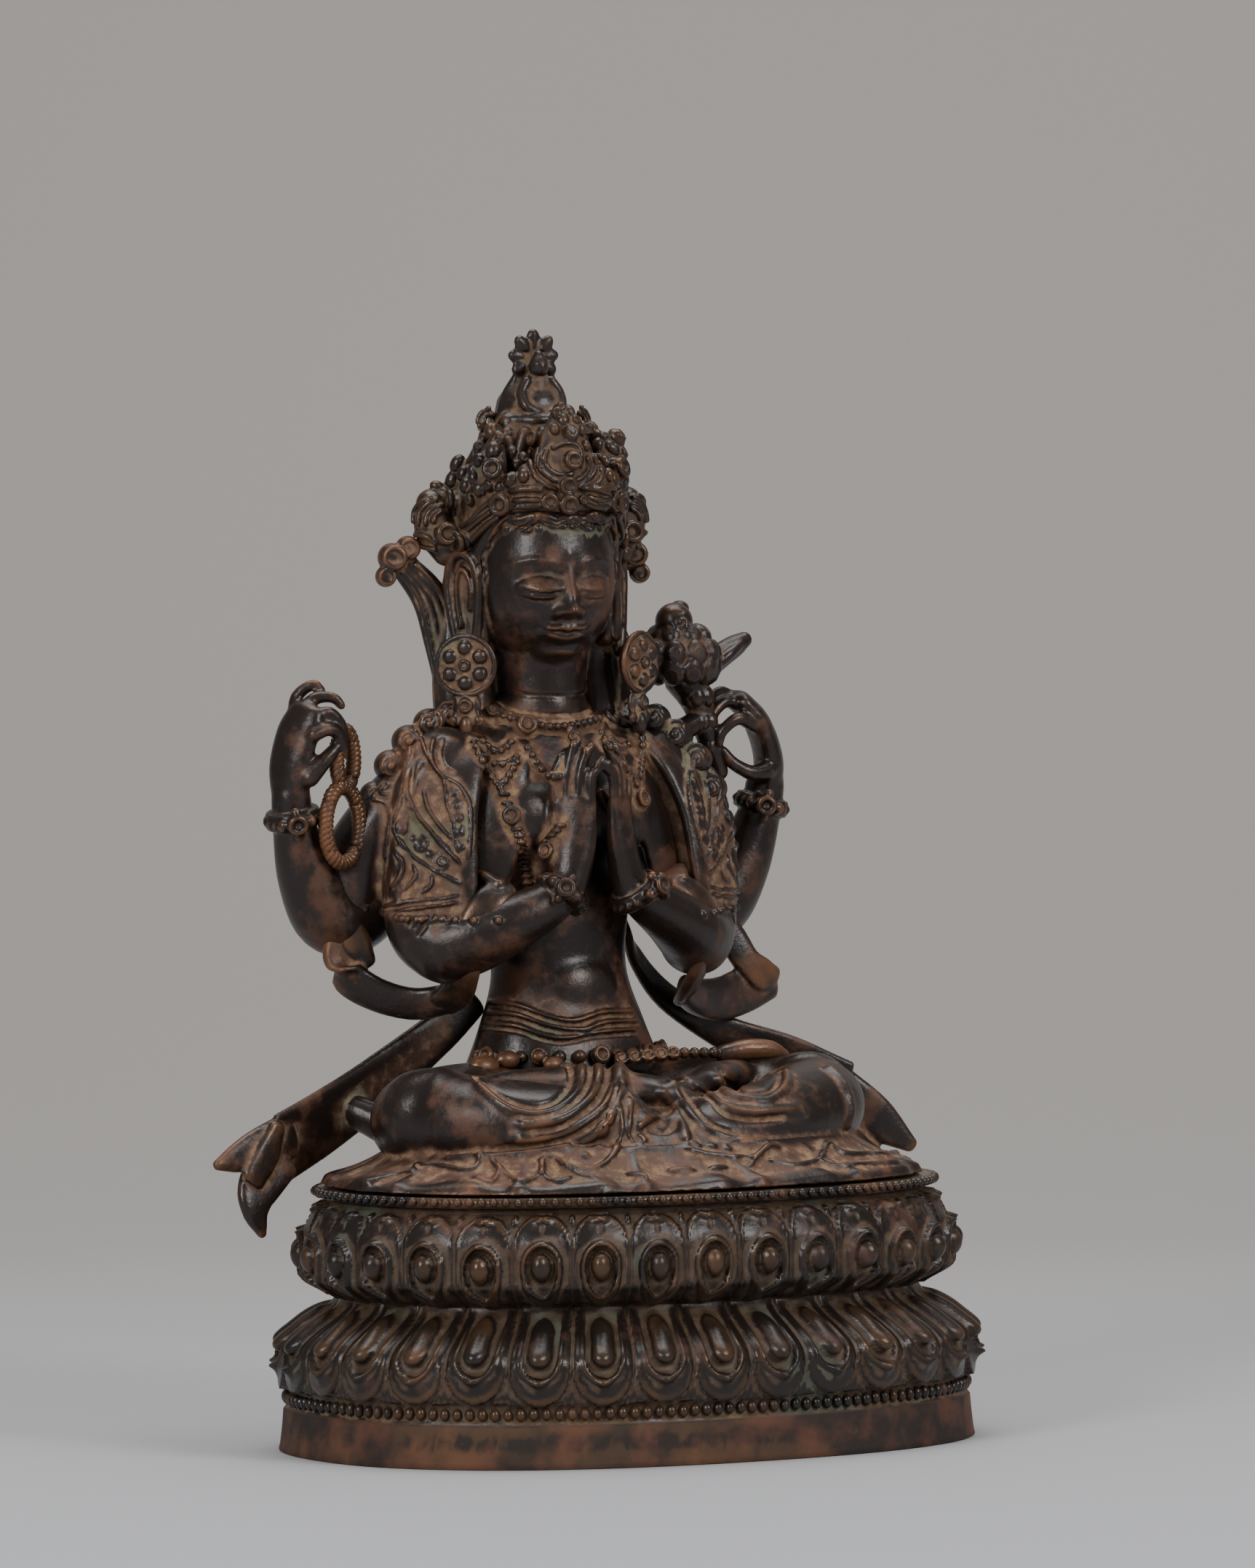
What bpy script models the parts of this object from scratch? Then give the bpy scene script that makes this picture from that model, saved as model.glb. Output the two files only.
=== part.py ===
"""Seated four-armed bodhisattva on a double lotus base, cast in copper.

Metres, +Z up. The origin is the middle of the base's underside and the figure faces -Y.
"""

import math

import bmesh
import bpy
from mathutils import Matrix, Vector

# Lotus base
BASE_WIDTH = 0.143
BASE_DEPTH = 0.106
BASE_HEIGHT = 0.0525
FOOT_HEIGHT = 0.0092
WAIST_HEIGHT = 0.0320
WAIST_INSET = 0.0118
LOWER_SWELL = 0.0009
UPPER_INSET = 0.0040
RIM_INSET = 0.0068
NECK_INSET = 0.0088
RIM_THICKNESS = 0.0022
PETALS = 32
FIRST_PETAL = 0.3
PETAL_RELIEF = 0.0021
OVAL_POWER = 2.3

# Figure
FIGURE_HEIGHT = 0.1690
SEAT_GAP = 0.0003
TAIL_CLEARANCE = 0.0012
HEM_WIDTH_SHARE = 0.98
HEM_DEPTH_SHARE = 0.94

# Fineness of the solids
FIGURE_VOXEL = 0.00095
FIGURE_TRIANGLES = 5700
BASE_TRIANGLES = 4100
BASE_COLUMNS = 256

# The figure is laid out in parts, 169 of them from the seat to the top of the crown.
PARTS_TALL = 169.0
PART = FIGURE_HEIGHT / PARTS_TALL

COPPER = (0.045, 0.028, 0.021, 1.0)


def clear_scene():
    for obj in list(bpy.data.objects):
        bpy.data.objects.remove(obj)


def copper(name, roughness):
    material = bpy.data.materials.new(name)
    material.use_nodes = True
    shader = material.node_tree.nodes["Principled BSDF"]
    shader.inputs["Base Color"].default_value = COPPER
    shader.inputs["Metallic"].default_value = 0.6
    shader.inputs["Roughness"].default_value = roughness
    return material


# Oval outline of the base


def signed_power(value, power):
    return math.copysign(abs(value) ** power, value)


def oval_point(inset, angle):
    """A point of the base's outline, moved in by inset, at an angle of the oval's own parameter."""
    x = (BASE_WIDTH / 2 - inset) * signed_power(math.cos(angle), 2 / OVAL_POWER)
    y = (BASE_DEPTH / 2 - inset) * signed_power(math.sin(angle), 2 / OVAL_POWER)
    return Vector((x, y, 0))


def even_oval_angles(columns):
    """Angles that part the outline into equal lengths, so that every petal has the same width."""
    fine = 2880
    points = [oval_point(0, math.tau * i / fine) for i in range(fine + 1)]
    run = [0.0]
    for first, second in zip(points, points[1:]):
        run.append(run[-1] + (second - first).length)
    angles = []
    place = 0
    for column in range(columns):
        wanted = run[-1] * column / columns
        while run[place + 1] < wanted:
            place += 1
        part = (wanted - run[place]) / (run[place + 1] - run[place])
        angles.append(math.tau * (place + part) / fine)
    return angles


def smooth_step(low, high, value):
    t = min(1.0, max(0.0, (value - low) / (high - low)))
    return t * t * (3 - 2 * t)


def petal_relief(across, along):
    """Relief of one petal, 0 to 1. across runs -0.5 to 0.5, along runs from the petal's root, 0,
    to its tip, 1."""
    shoulder = 0.62
    half = 0.47
    if along > shoulder:
        half *= math.sqrt(max(0.0, 1 - ((along - shoulder) / (1.0 - shoulder)) ** 2))
    edge = 1 - smooth_step(half - 0.07, half + 0.02, abs(across))
    boss_reach = math.hypot(across / 0.2, (along - 0.52) / 0.26)
    boss = 1 - smooth_step(0.55, 1.0, boss_reach)
    return 0.55 * edge + 0.45 * boss


def base_profile():
    """Rows of the base from foot to rim, as (height, inset, petal row, place along the petal)."""
    bead = 0.0012
    lower_start = FOOT_HEIGHT + 2.4 * bead
    upper_end = BASE_HEIGHT - RIM_THICKNESS - 0.0026
    rows = [(0.0, 0.0, 0, 0), (FOOT_HEIGHT * 0.5, 0.0004, 0, 0), (FOOT_HEIGHT, bead, 0, 0)]
    rows.append((FOOT_HEIGHT + 0.5 * bead, 0.0002, 0, 0))
    rows.append((FOOT_HEIGHT + 1.6 * bead, 0.0002, 0, 0))
    rows.append((lower_start, 1.6 * bead, 0, 0))
    steps = 10
    for step in range(steps + 1):
        t = step / steps
        height = lower_start + (WAIST_HEIGHT - 0.0010 - lower_start) * t
        swell = math.sin(math.pi * min(1.0, t * 1.25 + 0.18)) if t < 0.66 else 0.0
        fall = smooth_step(0.42, 1.0, t) ** 1.3
        inset = -LOWER_SWELL * swell + WAIST_INSET * fall
        rows.append((height, inset, 1, 1 - t))
    rows.append((WAIST_HEIGHT, WAIST_INSET, 0, 0))
    steps = 9
    for step in range(steps + 1):
        t = step / steps
        height = WAIST_HEIGHT + 0.0010 + (upper_end - WAIST_HEIGHT - 0.0010) * t
        rise = 1 - smooth_step(0.0, 0.52, t)
        lean = smooth_step(0.62, 1.0, t)
        inset = UPPER_INSET + (WAIST_INSET - UPPER_INSET) * rise ** 1.4 + 0.0032 * lean
        rows.append((height, inset, 2, t))
    rows.append((upper_end + 0.0006, NECK_INSET, 0, 0))
    rows.append((BASE_HEIGHT - RIM_THICKNESS, NECK_INSET, 0, 0))
    rows.append((BASE_HEIGHT - RIM_THICKNESS * 0.8, RIM_INSET, 0, 0))
    rows.append((BASE_HEIGHT - RIM_THICKNESS * 0.2, RIM_INSET, 0, 0))
    rows.append((BASE_HEIGHT, RIM_INSET + 0.0008, 0, 0))
    return rows


def lotus_base_mesh():
    bm = bmesh.new()
    angles = even_oval_angles(BASE_COLUMNS)
    rings = []
    for height, inset, row, along in base_profile():
        ring = []
        for column, angle in enumerate(angles):
            relief = 0.0
            if row:
                across = (column / BASE_COLUMNS * PETALS - FIRST_PETAL + 0.5) % 1.0 - 0.5
                relief = PETAL_RELIEF * petal_relief(across, along)
            point = oval_point(inset - relief, angle)
            point.z = height
            ring.append(bm.verts.new(point))
        rings.append(ring)
    for lower, upper in zip(rings, rings[1:]):
        for i in range(BASE_COLUMNS):
            j = (i + 1) % BASE_COLUMNS
            bm.faces.new((lower[i], lower[j], upper[j], upper[i]))
    bm.faces.new(list(reversed(rings[0])))
    bm.faces.new(rings[-1])
    return bm


# Forms that the figure is built up from. Each one adds a closed skin to the mesh.


def smooth_path(points, steps):
    """Catmull-Rom curve through the points. A point may carry more values than its place."""
    if len(points) == 2:
        return [tuple(a + (b - a) * s / steps for a, b in zip(*points)) for s in range(steps + 1)]
    padded = [points[0]] + list(points) + [points[-1]]
    curve = []
    for i in range(len(points) - 1):
        p0, p1, p2, p3 = padded[i : i + 4]
        for s in range(steps):
            t = s / steps
            curve.append(
                tuple(
                    0.5 * (2 * b + (c - a) * t + (2 * a - 5 * b + 4 * c - d) * t * t
                           + (3 * b - a - 3 * c + d) * t ** 3)
                    for a, b, c, d in zip(p0, p1, p2, p3)
                )
            )
    curve.append(tuple(points[-1]))
    return curve


def sweep(bm, points, side=(1, 0, 0), sides=12, power=2.0, steps=4, cap=9.0):
    """A limb or ribbon along points (x, y, z, half width, half thickness),
    rounded off over cap at its ends."""
    curve = smooth_path(points, steps)
    places = [Vector(c[:3]) for c in curve]
    rings = []
    for i, spot in enumerate(places):
        run = places[min(i + 1, len(places) - 1)] - places[max(i - 1, 0)]
        run.normalize()
        hint = Vector(side)
        wide = (hint - run * hint.dot(run)).normalized()
        deep = run.cross(wide)
        half_width, half_depth = max(0.05, curve[i][3]), max(0.05, curve[i][4])
        ends = [(1.0, 0.0)]
        round_end = min(half_width, half_depth, cap)
        if i == 0:
            ends = [(0.45, -0.85), (0.8, -0.5), (1.0, 0.0)]
        elif i == len(places) - 1:
            ends = [(1.0, 0.0), (0.8, 0.5), (0.45, 0.85)]
        for share, shift in ends:
            ring = []
            for k in range(sides):
                angle = math.tau * k / sides
                x = half_width * share * signed_power(math.cos(angle), 2 / power)
                y = half_depth * share * signed_power(math.sin(angle), 2 / power)
                ring.append(bm.verts.new(spot + run * shift * round_end + wide * x + deep * y))
            rings.append(ring)
    for first, second in zip(rings, rings[1:]):
        for k in range(sides):
            n = (k + 1) % sides
            bm.faces.new((first[k], first[n], second[n], second[k]))
    bm.faces.new(list(reversed(rings[0])))
    bm.faces.new(rings[-1])


def limb(bm, points, sides=12):
    """A round limb along points (x, y, z, radius)."""
    sweep(bm, [(x, y, z, r, r) for x, y, z, r in points], side=(0.3, 0.9, 0.2), sides=sides)


def ball(bm, centre, radii, turn=(0, 0, 0)):
    matrix = Matrix.Translation(centre) @ (
        Matrix.Rotation(math.radians(turn[2]), 4, "Z")
        @ Matrix.Rotation(math.radians(turn[1]), 4, "Y")
        @ Matrix.Rotation(math.radians(turn[0]), 4, "X")
    )
    matrix = matrix @ Matrix.Diagonal((*radii, 1.0))
    around, rows = 18, 9
    loops = []
    for row in range(1, rows):
        tilt = math.pi * row / rows
        loops.append(
            [
                bm.verts.new(matrix @ Vector((math.sin(tilt) * math.cos(math.tau * k / around),
                                              math.sin(tilt) * math.sin(math.tau * k / around),
                                                  math.cos(tilt))))
                for k in range(around)
            ]
        )
    top = bm.verts.new(matrix @ Vector((0, 0, 1)))
    bottom = bm.verts.new(matrix @ Vector((0, 0, -1)))
    for k in range(around):
        n = (k + 1) % around
        bm.faces.new((top, loops[0][k], loops[0][n]))
        bm.faces.new((bottom, loops[-1][n], loops[-1][k]))
        for first, second in zip(loops, loops[1:]):
            bm.faces.new((first[k], second[k], second[n], first[n]))


def ring(bm, centre, facing, radius, thickness):
    """A torus round centre whose hole looks along facing."""
    facing = Vector(facing).normalized()
    across = facing.orthogonal().normalized()
    up = facing.cross(across)
    around = 14
    loops = []
    for i in range(around):
        a = math.tau * i / around
        spoke = across * math.cos(a) + up * math.sin(a)
        loops.append(
            [
                bm.verts.new(
                    Vector(centre)
                    + spoke * (radius + thickness * math.cos(math.tau * k / 8))
                    + facing * thickness * math.sin(math.tau * k / 8)
                )
                for k in range(8)
            ]
        )
    for i in range(around):
        j = (i + 1) % around
        for k in range(8):
            n = (k + 1) % 8
            bm.faces.new((loops[i][k], loops[j][k], loops[j][n], loops[i][n]))


def mirrored(points):
    return [(-p[0], *p[1:]) for p in points]


def both_sides(make, points):
    make(points)
    make(mirrored(points))


# The figure's members, in parts


def torso(bm):
    body = [
        (0, 25, 8, 25, 17),
        (0, 25, 20, 23, 15.5),
        (0, 26, 32, 17.5, 12.5),
        (0, 27, 42, 13.8, 10.5),
        (0, 28, 54, 16.0, 11.5),
        (0, 29, 68, 20.0, 13.0),
        (0, 30, 80, 22.0, 12.0),
        (0, 31, 88, 14.0, 9.0),
    ]
    sweep(bm, body, side=(1, 0, 0), sides=24, power=2.2)
    ball(bm, (-9.5, 21, 71), (10, 6.5, 8))
    ball(bm, (9.5, 21, 71), (10, 6.5, 8))
    limb(bm, [(0, 31.5, 84, 9.6), (0, 32, 92, 8.6), (0, 32.5, 104, 8.4)], sides=18)
    for height, reach in ((90, 9.9), (94, 9.3)):
        ball(bm, (0, 31.8, height), (reach, reach, 1.5))


def belt(bm):
    for height, half_width, half_depth in ((35.5, 16.8, 12.4), (31.5, 18.4, 13.4), (27.5, 20.6, 14.6)):
        ball(bm, (0, 26, height), (half_width, half_depth, 2.0))
    for step in range(13):
        angle = math.radians(-170 + 160 * step / 12)
        ball(bm, (21.5 * math.cos(angle), 25 + 15.5 * math.sin(angle), 24.5), (2.3, 2.3, 2.1))


def legs(bm):
    thigh = [(10, 24, 12, 12, 11), (28, 15, 12.5, 12.5, 10.5), (43.5, 4, 12.5, 11.5, 10.2)]
    both_sides(lambda p: sweep(bm, p, side=(0.4, 0.9, 0), sides=20), thigh)
    shin = [(43.5, 4, 12.5, 11.5, 10.2), (37, -10, 12, 11.5, 9.6), (22, -18, 10.5, 10.5, 8.4),
        (6, -23, 8.5, 9, 6.4)]
    both_sides(lambda p: sweep(bm, p, side=(0.4, 0.9, 0), sides=20), shin)
    ball(bm, (0, -4, 6), (38, 28, 8))
    foot = [(-24, 4, 19, 4.6, 3.4), (-14, -6, 19.5, 5.4, 3.4), (-3, -13, 18.5, 4.6, 3.0),
        (4, -16, 17.0, 3.4, 2.4)]
    sweep(bm, foot, side=(0.3, 0.9, 0.2), sides=12)
    sweep(bm, mirrored(foot[:2]), side=(0.3, -0.9, 0.2), sides=12)


def skirt_folds(bm):
    """Folds that sweep over each shin from the lap, and the pleats that fall between the legs."""
    for step in range(5):
        reach = 17 + 6.0 * step
        fold = [
            (4 + 5.0 * step, -10 + 2.0 * step, 18.8 + 0.7 * step, 1.2),
            (9 + 5.6 * step, -19 + 1.6 * step, 17.6 + 0.6 * step, 1.6),
            (reach + 1, -28.5 + 2.2 * step, 11.0, 1.7),
            (reach - 4, -31 + 1.6 * step, 4.5, 1.3),
        ]
        both_sides(lambda p: limb(bm, p, sides=8), fold)
    for step in range(5):
        spread = -9 + 4.5 * step
        pleat = [(spread * 0.3 - 2, -16, 17.5, 2.0, 1.4), (spread * 0.6 - 3, -27, 12, 2.6, 1.5),
                 (spread * 1.1 - 4, -33.5, 5.5, 3.0, 1.6), (spread * 1.6 - 5, -37.5, 2, 3.4, 1.4)]
        sweep(bm, pleat, side=(1, 0, 0), sides=10)


def hem(bm):
    """The skirt's edge lying on the base in zigzag folds."""
    half_width = (BASE_WIDTH / 2 - RIM_INSET) / PART * HEM_WIDTH_SHARE
    half_depth = (BASE_DEPTH / 2 - RIM_INSET) / PART * HEM_DEPTH_SHARE
    folds = 22
    for step in range(folds):
        angle = math.radians(-196 + 212 * step / (folds - 1))
        wave = 1.0 if step % 2 else 0.93
        x = half_width * 0.86 * wave * math.cos(angle)
        y = half_depth * 0.86 * wave * math.sin(angle)
        lift = 2.6 if step % 2 else 3.4
        ball(bm, (x, y, lift - 1.0), (7.0, 4.2, lift * 0.8), turn=(0, 0, math.degrees(angle) + 90))
    seat = [(0, 2, -1.5, half_width * 0.90, half_depth * 0.86),
        (0, 2, 3.0, half_width * 0.86, half_depth * 0.82)]
    sweep(bm, seat, side=(1, 0, 0), sides=40, power=OVAL_POWER, cap=1.5)


def front_arms(bm):
    upper = [(22, 31, 83, 10.0), (28, 29, 72, 9.6), (31, 26.5, 58, 8.8), (31, 24, 48.5, 8.2),
        (26.5, 19, 47, 7.6),
             (19, 13, 51, 6.2), (11.5, 9.5, 56.5, 4.7), (8.0, 9.0, 60, 4.0)]
    both_sides(lambda p: limb(bm, p, sides=18), upper)
    palm = [(7.4, 9, 58, 3.8, 3.0), (5.8, 9.5, 64, 4.6, 2.9), (4.6, 10.5, 71, 4.8, 2.5),
        (3.2, 11, 76, 4.6, 2.2)]
    both_sides(lambda p: sweep(bm, p, side=(0, 1, 0), sides=12), palm)
    for finger, (offset, length) in enumerate(((-3.4, 8.5), (-1.2, 10.5), (1.2, 11.0), (3.4, 9.5))):
        bend = 0.9 if finger in (1, 2) else 0.5
        run = [(3.3, 11 + offset, 74, 1.45), (3.0, 11 + offset * 1.02, 79, 1.4),
               (1.6 * bend, 11.2 + offset * 0.9, 76 + length, 1.2)]
        both_sides(lambda p: limb(bm, p, sides=8), run)
    thumb = [(4.6, 14.5, 66, 1.9), (3.4, 15.5, 72, 1.6), (2.4, 15.5, 76, 1.3)]
    both_sides(lambda p: limb(bm, p, sides=8), thumb)
    for height, radius in ((57.2, 5.3), (59.0, 4.9)):
        both_sides(lambda p: ring(bm, p[0], (p[0][0] * 0.06, 0.1, 0.8), radius, 1.3),
                   [(9.4 - (height - 57) * 0.5, 9.2, height)])


def rear_arms(bm):
    for side, reach in ((-1, 0.0), (1, -1.8)):
        upper = [(20, 35, 78, 8.5), (31, 38, 62, 8.2), (39, 39, 51.5, 8.0), (46.5 + reach, 38.5, 52, 7.6),
                 (52 + reach, 37.5, 61, 6.4), (55.3 + reach, 36, 71, 4.6), (55.8 + reach, 35.5, 75, 4.3)]
        limb(bm, [(side * x, *rest) for x, *rest in upper], sides=16)
        ring(bm, (side * (55.2 + reach), 36, 71.5), (side * 0.25, 0.1, 1), 5.0, 1.5)


def right_rear_hand(bm):
    """The hand that holds up the rosary, palm towards the figure, two fingers raised."""
    palm = [(-55.8, 35.5, 74, 4.2, 3.4), (-56.0, 35, 82, 5.2, 3.2), (-54.2, 34.5, 90, 5.4, 2.8),
        (-52.5, 34, 94, 4.6, 2.4)]
    sweep(bm, palm, side=(0.35, -0.9, 0.1), sides=12)
    fingers = (
        [(-53.6, 37, 92, 1.7), (-52.6, 37.5, 96.5, 1.4), (-49.4, 36, 98.6, 1.2)],
        [(-53.0, 34.5, 93, 1.7), (-50.5, 33.5, 95.5, 1.5), (-46.8, 32, 95.8, 1.2)],
        [(-52.5, 31.5, 92, 1.7), (-49.0, 30.5, 92.5, 1.5), (-46.3, 30.5, 88.5, 1.3)],
        [(-53.5, 29.5, 89, 1.6), (-49.8, 29.5, 89.5, 1.5), (-46.8, 30, 85.5, 1.3)],
        [(-54.0, 30.5, 80, 2.0), (-50.0, 30.0, 84.5, 1.7), (-46.8, 30.5, 87.5, 1.4)],
    )
    for run in fingers:
        limb(bm, run, sides=8)


def rosary(bm):
    turns = 20
    points = []
    for step in range(turns + 1):
        angle = math.tau * step / turns
        x = -46.8 + 5.0 * math.sin(angle) * (1.0 if math.cos(angle) < 0 else 0.55)
        z = 75.5 + 12.0 * math.cos(angle)
        points.append((x, 31.5 + 1.5 * math.sin(angle), z, 1.75))
    limb(bm, points, sides=8)


def left_rear_hand_and_lotus(bm):
    palm = [(54, 35.5, 74, 4.2, 3.4), (54.4, 35, 81, 5.4, 3.2), (51.4, 34.5, 88.5, 5.6, 2.8),
        (47, 34, 93.5, 4.2, 2.4)]
    sweep(bm, palm, side=(-0.35, -0.9, 0.1), sides=12)
    fingers = (
        [(48.5, 36.5, 92, 1.8), (44.0, 36, 95.0, 1.5), (40.0, 35, 92.5, 1.3)],
        [(48.0, 33.5, 91, 1.8), (43.5, 33, 93.0, 1.5), (39.5, 33, 89.5, 1.3)],
        [(49.0, 31.0, 88, 1.8), (44.5, 30.5, 89.5, 1.5), (40.7, 31.5, 86.0, 1.3)],
        [(52.2, 31.5, 79, 2.0), (47.5, 31.0, 78.5, 1.7), (42.5, 32.5, 82.5, 1.5)],
    )
    for run in fingers:
        limb(bm, run, sides=8)
    limb(bm, [(42, 33.5, 79, 2.0), (39.5, 34, 87, 2.8), (37.5, 34.5, 93, 3.4),
        (35, 34.5, 98, 4.6)], sides=10)
    ball(bm, (36.6, 33.0, 92.5), (4.4, 3.6, 4.4))
    ball(bm, (33.0, 34, 103), (8.0, 7.4, 6.4))
    for step in range(10):
        angle = math.tau * step / 10
        outward = Vector((math.cos(angle), math.sin(angle), 0))
        spot = Vector((33.0, 34, 100.2)) + outward * 6.4
        ball(bm, spot, (3.1, 3.1, 3.8))
    ball(bm, (31.5, 33, 108.5), (4.6, 4.4, 4.6))
    bud = [(38, 34, 100, 3.0), (43, 34, 103, 2.7), (47.6, 34, 105.2, 2.3)]
    limb(bm, bud, sides=10)
    # A leaf ties the stem to the shoulder, as the casting does.
    limb(bm, [(40, 34, 92, 2.4), (34, 33, 88.5, 2.6), (28, 32, 86, 3.0)], sides=8)


def head(bm):
    ball(bm, (0, 33, 118), (13.4, 14.6, 17.5))
    ball(bm, (0, 31, 112), (12.6, 13.2, 11.5))
    ball(bm, (0, 36, 124), (14.6, 14.5, 13))
    ball(bm, (0, 18.6, 115.2), (1.9, 2.6, 4.6), turn=(-14, 0, 0))
    ball(bm, (0, 17.6, 112.6), (2.5, 2.1, 1.7))
    ball(bm, (0, 20.0, 108.2), (3.8, 2.2, 1.5))
    ball(bm, (0, 21.6, 103.6), (4.4, 3.4, 3.0))
    for side in (-1, 1):
        ball(bm, (side * 5.6, 20.8, 117.4), (3.6, 2.4, 1.8), turn=(0, 0, side * 14))
        ear = [(side * 14.2, 31, 124, 2.9, 1.5), (side * 15.2, 31.5, 117, 2.6, 1.4),
            (side * 15.4, 31, 109, 2.3, 1.5)]
        sweep(bm, ear, side=(0, 1, 0), sides=10)
        # Round earring with its pendant, resting on the collar
        sweep(bm, [(side * 18.2, 27.5, 102.2, 6.4, 6.4),
            (side * 18.9, 24.7, 102.0, 6.4, 6.4)], side=(1, 0, 0), sides=16)
        ball(bm, (side * 19.0, 24.5, 102), (2.6, 2.2, 2.6))
        limb(bm, [(side * 19.0, 25.5, 97, 3.4), (side * 19.5, 23.5, 92, 2.6),
            (side * 20, 22.5, 88.5, 1.8)], sides=8)
        limb(bm, [(side * 16, 36, 112, 4.0), (side * 17.5, 35, 102, 4.4),
            (side * 18, 33, 92, 4.6)], sides=10)
    ball(bm, (0, 42, 112), (15, 9, 20))


def crown_ribbons(bm):
    """The crown's ties, which flare behind the ears and end in a scroll."""
    for side, reach in ((-1, 28.5), (1, 22.5)):
        tie = [(side * 17.5, 39, 100, 3.4, 1.6), (side * 19.0, 40, 108, 3.8, 1.6),
            (side * (reach - 4.5), 41, 116, 4.0, 1.6),
               (side * reach, 41, 122, 4.2, 1.8)]
        sweep(bm, tie, side=(0.9, 0.2, -0.4), sides=10, power=3)
        sweep(bm, [(side * 17, 38, 112, 6, 2.0),
            (side * 19, 38.5, 122, 6.4, 2.0)], side=(0.9, 0.3, 0), sides=10)
        ball(bm, (side * (reach + 0.6), 40, 123), (3.8, 3.2, 3.6))
        ball(bm, (side * (reach - 2.0), 39.4, 125.0), (3.0, 2.8, 3.0))


def crown(bm):
    """Headband, five leaves with bossed jewels, and the topknot behind them."""
    band_tilt = 0.10
    for height, radius in ((131.5, 15.6), (134.5, 16.0)):
        ring(bm, (0, 33, height), (0, band_tilt, 1), radius, 1.5)
    ball(bm, (0, 34, 134), (16.2, 16.4, 4.5))
    for angle, tall, wide in ((-90, 19.5, 6.8), (-42, 15, 5.8), (-138, 15, 5.8), (4, 11, 5.2),
        (-184, 11, 5.2)):
        a = math.radians(angle)
        out = Vector((math.cos(a), math.sin(a), 0))
        side = Vector((-math.sin(a), math.cos(a), 0))
        root = Vector((0, 33.5, 134)) + out * 15.6
        leaf = [
            (*(root + Vector((0, 0, 0))), wide * 0.72, 2.2),
            (*(root + out * 0.8 + Vector((0, 0, tall * 0.42))), wide, 2.3),
            (*(root - out * 1.4 + Vector((0, 0, tall * 0.75))), wide * 0.60, 2.0),
            (*(root - out * 4.0 + Vector((0, 0, tall * 1.0))), wide * 0.16, 1.4),
        ]
        sweep(bm, leaf, side=side, sides=12)
        boss = root + out * 1.6 + Vector((0, 0, tall * 0.36))
        ring(bm, boss + out * 1.2, out, 3.2, 1.0)
        ball(bm, boss + out * 1.4, (2.0, 2.0, 2.0))
        for shift in (-1, 1):
            ring(bm, root + out * 1.3 + side * shift * wide * 0.9 + Vector((0, 0, 1.0)), out, 1.7, 0.9)
    topknot = [(0, 36, 132, 13.5), (0, 36, 142, 11.5), (0, 35.5, 149, 9.6), (0, 35.5, 154, 7.0)]
    limb(bm, topknot, sides=16)
    for side in (-1, 1):
        # Side scrolls over the ears
        ball(bm, (side * 19.5, 36, 131), (4.2, 6.5, 6.0))
        ball(bm, (side * 20.5, 34, 136.5), (3.2, 5.5, 4.5))


def crown_buddha(bm):
    """A small seated figure before a fan of leaves at the top of the topknot."""
    ball(bm, (0, 33.5, 150.5), (7.6, 6.2, 3.2))
    ball(bm, (0, 33.5, 156), (4.6, 4.0, 5.4))
    for side in (-1, 1):
        limb(bm, [(side * 4.4, 33.5, 158.4, 1.6), (side * 5.4, 31.5, 154.6, 1.5),
            (side * 1.0, 29.2, 152.4, 1.3)], sides=8)
        limb(bm, [(side * 4.6, 35.6, 158.4, 2.2), (side * 6.6, 36.4, 152.8, 2.2)], sides=8)
    ball(bm, (0, 33, 162), (3.0, 3.0, 3.3))
    for step in range(7):
        a = math.radians(-20 + 220 * step / 6)
        tip = (6.0 * math.cos(a), 36.0, 162.2 + 5.2 * math.sin(a))
        limb(bm, [(1.4 * math.cos(a), 35.2, 161 + math.sin(a), 1.6), (*tip, 1.6)], sides=8)


def shoulder_hair(bm):
    """Locks that lie along each shoulder in curls."""
    for side in (-1, 1):
        for x, y, z, size in ((22, 34, 91.5, 3.8), (27.5, 34, 88.5, 4.0), (32.0, 33.5, 84, 4.0),
            (35.4, 33, 79.5, 3.4),
                              (36.4, 33, 74.5, 2.8)):
            ball(bm, (side * x, y, z), (size, size, size * 0.95))


def shawl(bm):
    """The shawl's panels over the upper arms and the beaded armlets below them."""
    for side in (-1, 1):
        for points in (
            [(27, 24, 84, 5.5, 2.2), (31, 20.5, 72, 7.5, 2.2), (32.5, 19.5, 62, 7.5, 2.0),
            (32, 19, 55, 6.0, 1.6)],
            [(30, 31, 85, 6.0, 3.0), (35.5, 30, 72, 6.5, 3.0), (36.6, 29, 60, 6.0, 2.6)],
        ):
            run = [(side * x, *rest) for x, *rest in points]
            sweep(bm, run, side=(side * 0.75, 0.65, 0), sides=12)
        ring(bm, (side * 31.3, 25.0, 53.5), (side * 0.06, -0.18, 1), 9.0, 1.3)


def necklace(bm):
    for step in range(15):
        angle = math.radians(-168 + 156 * step / 14)
        ball(bm, (12.5 * math.cos(angle), 30 + 12.5 * math.sin(angle), 86.5), (1.5, 1.5, 1.5))
    for step in range(11):
        t = -1 + 2 * step / 10
        ball(bm, (15.5 * t, 16.2 + 4.0 * t * t, 73 + 11 * t * t), (1.7, 1.7, 1.7))
    for side in (-1, 1):
        strand = [(side * 17.5, 19.5, 85, 1.7), (side * 14.5, 15.6, 74, 1.7), (side * 11, 15.5, 62, 1.7),
                  (side * 7.5, 17.2, 52, 1.7), (0, 16.5, 45.5, 1.7)]
        limb(bm, strand, sides=8)


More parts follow.
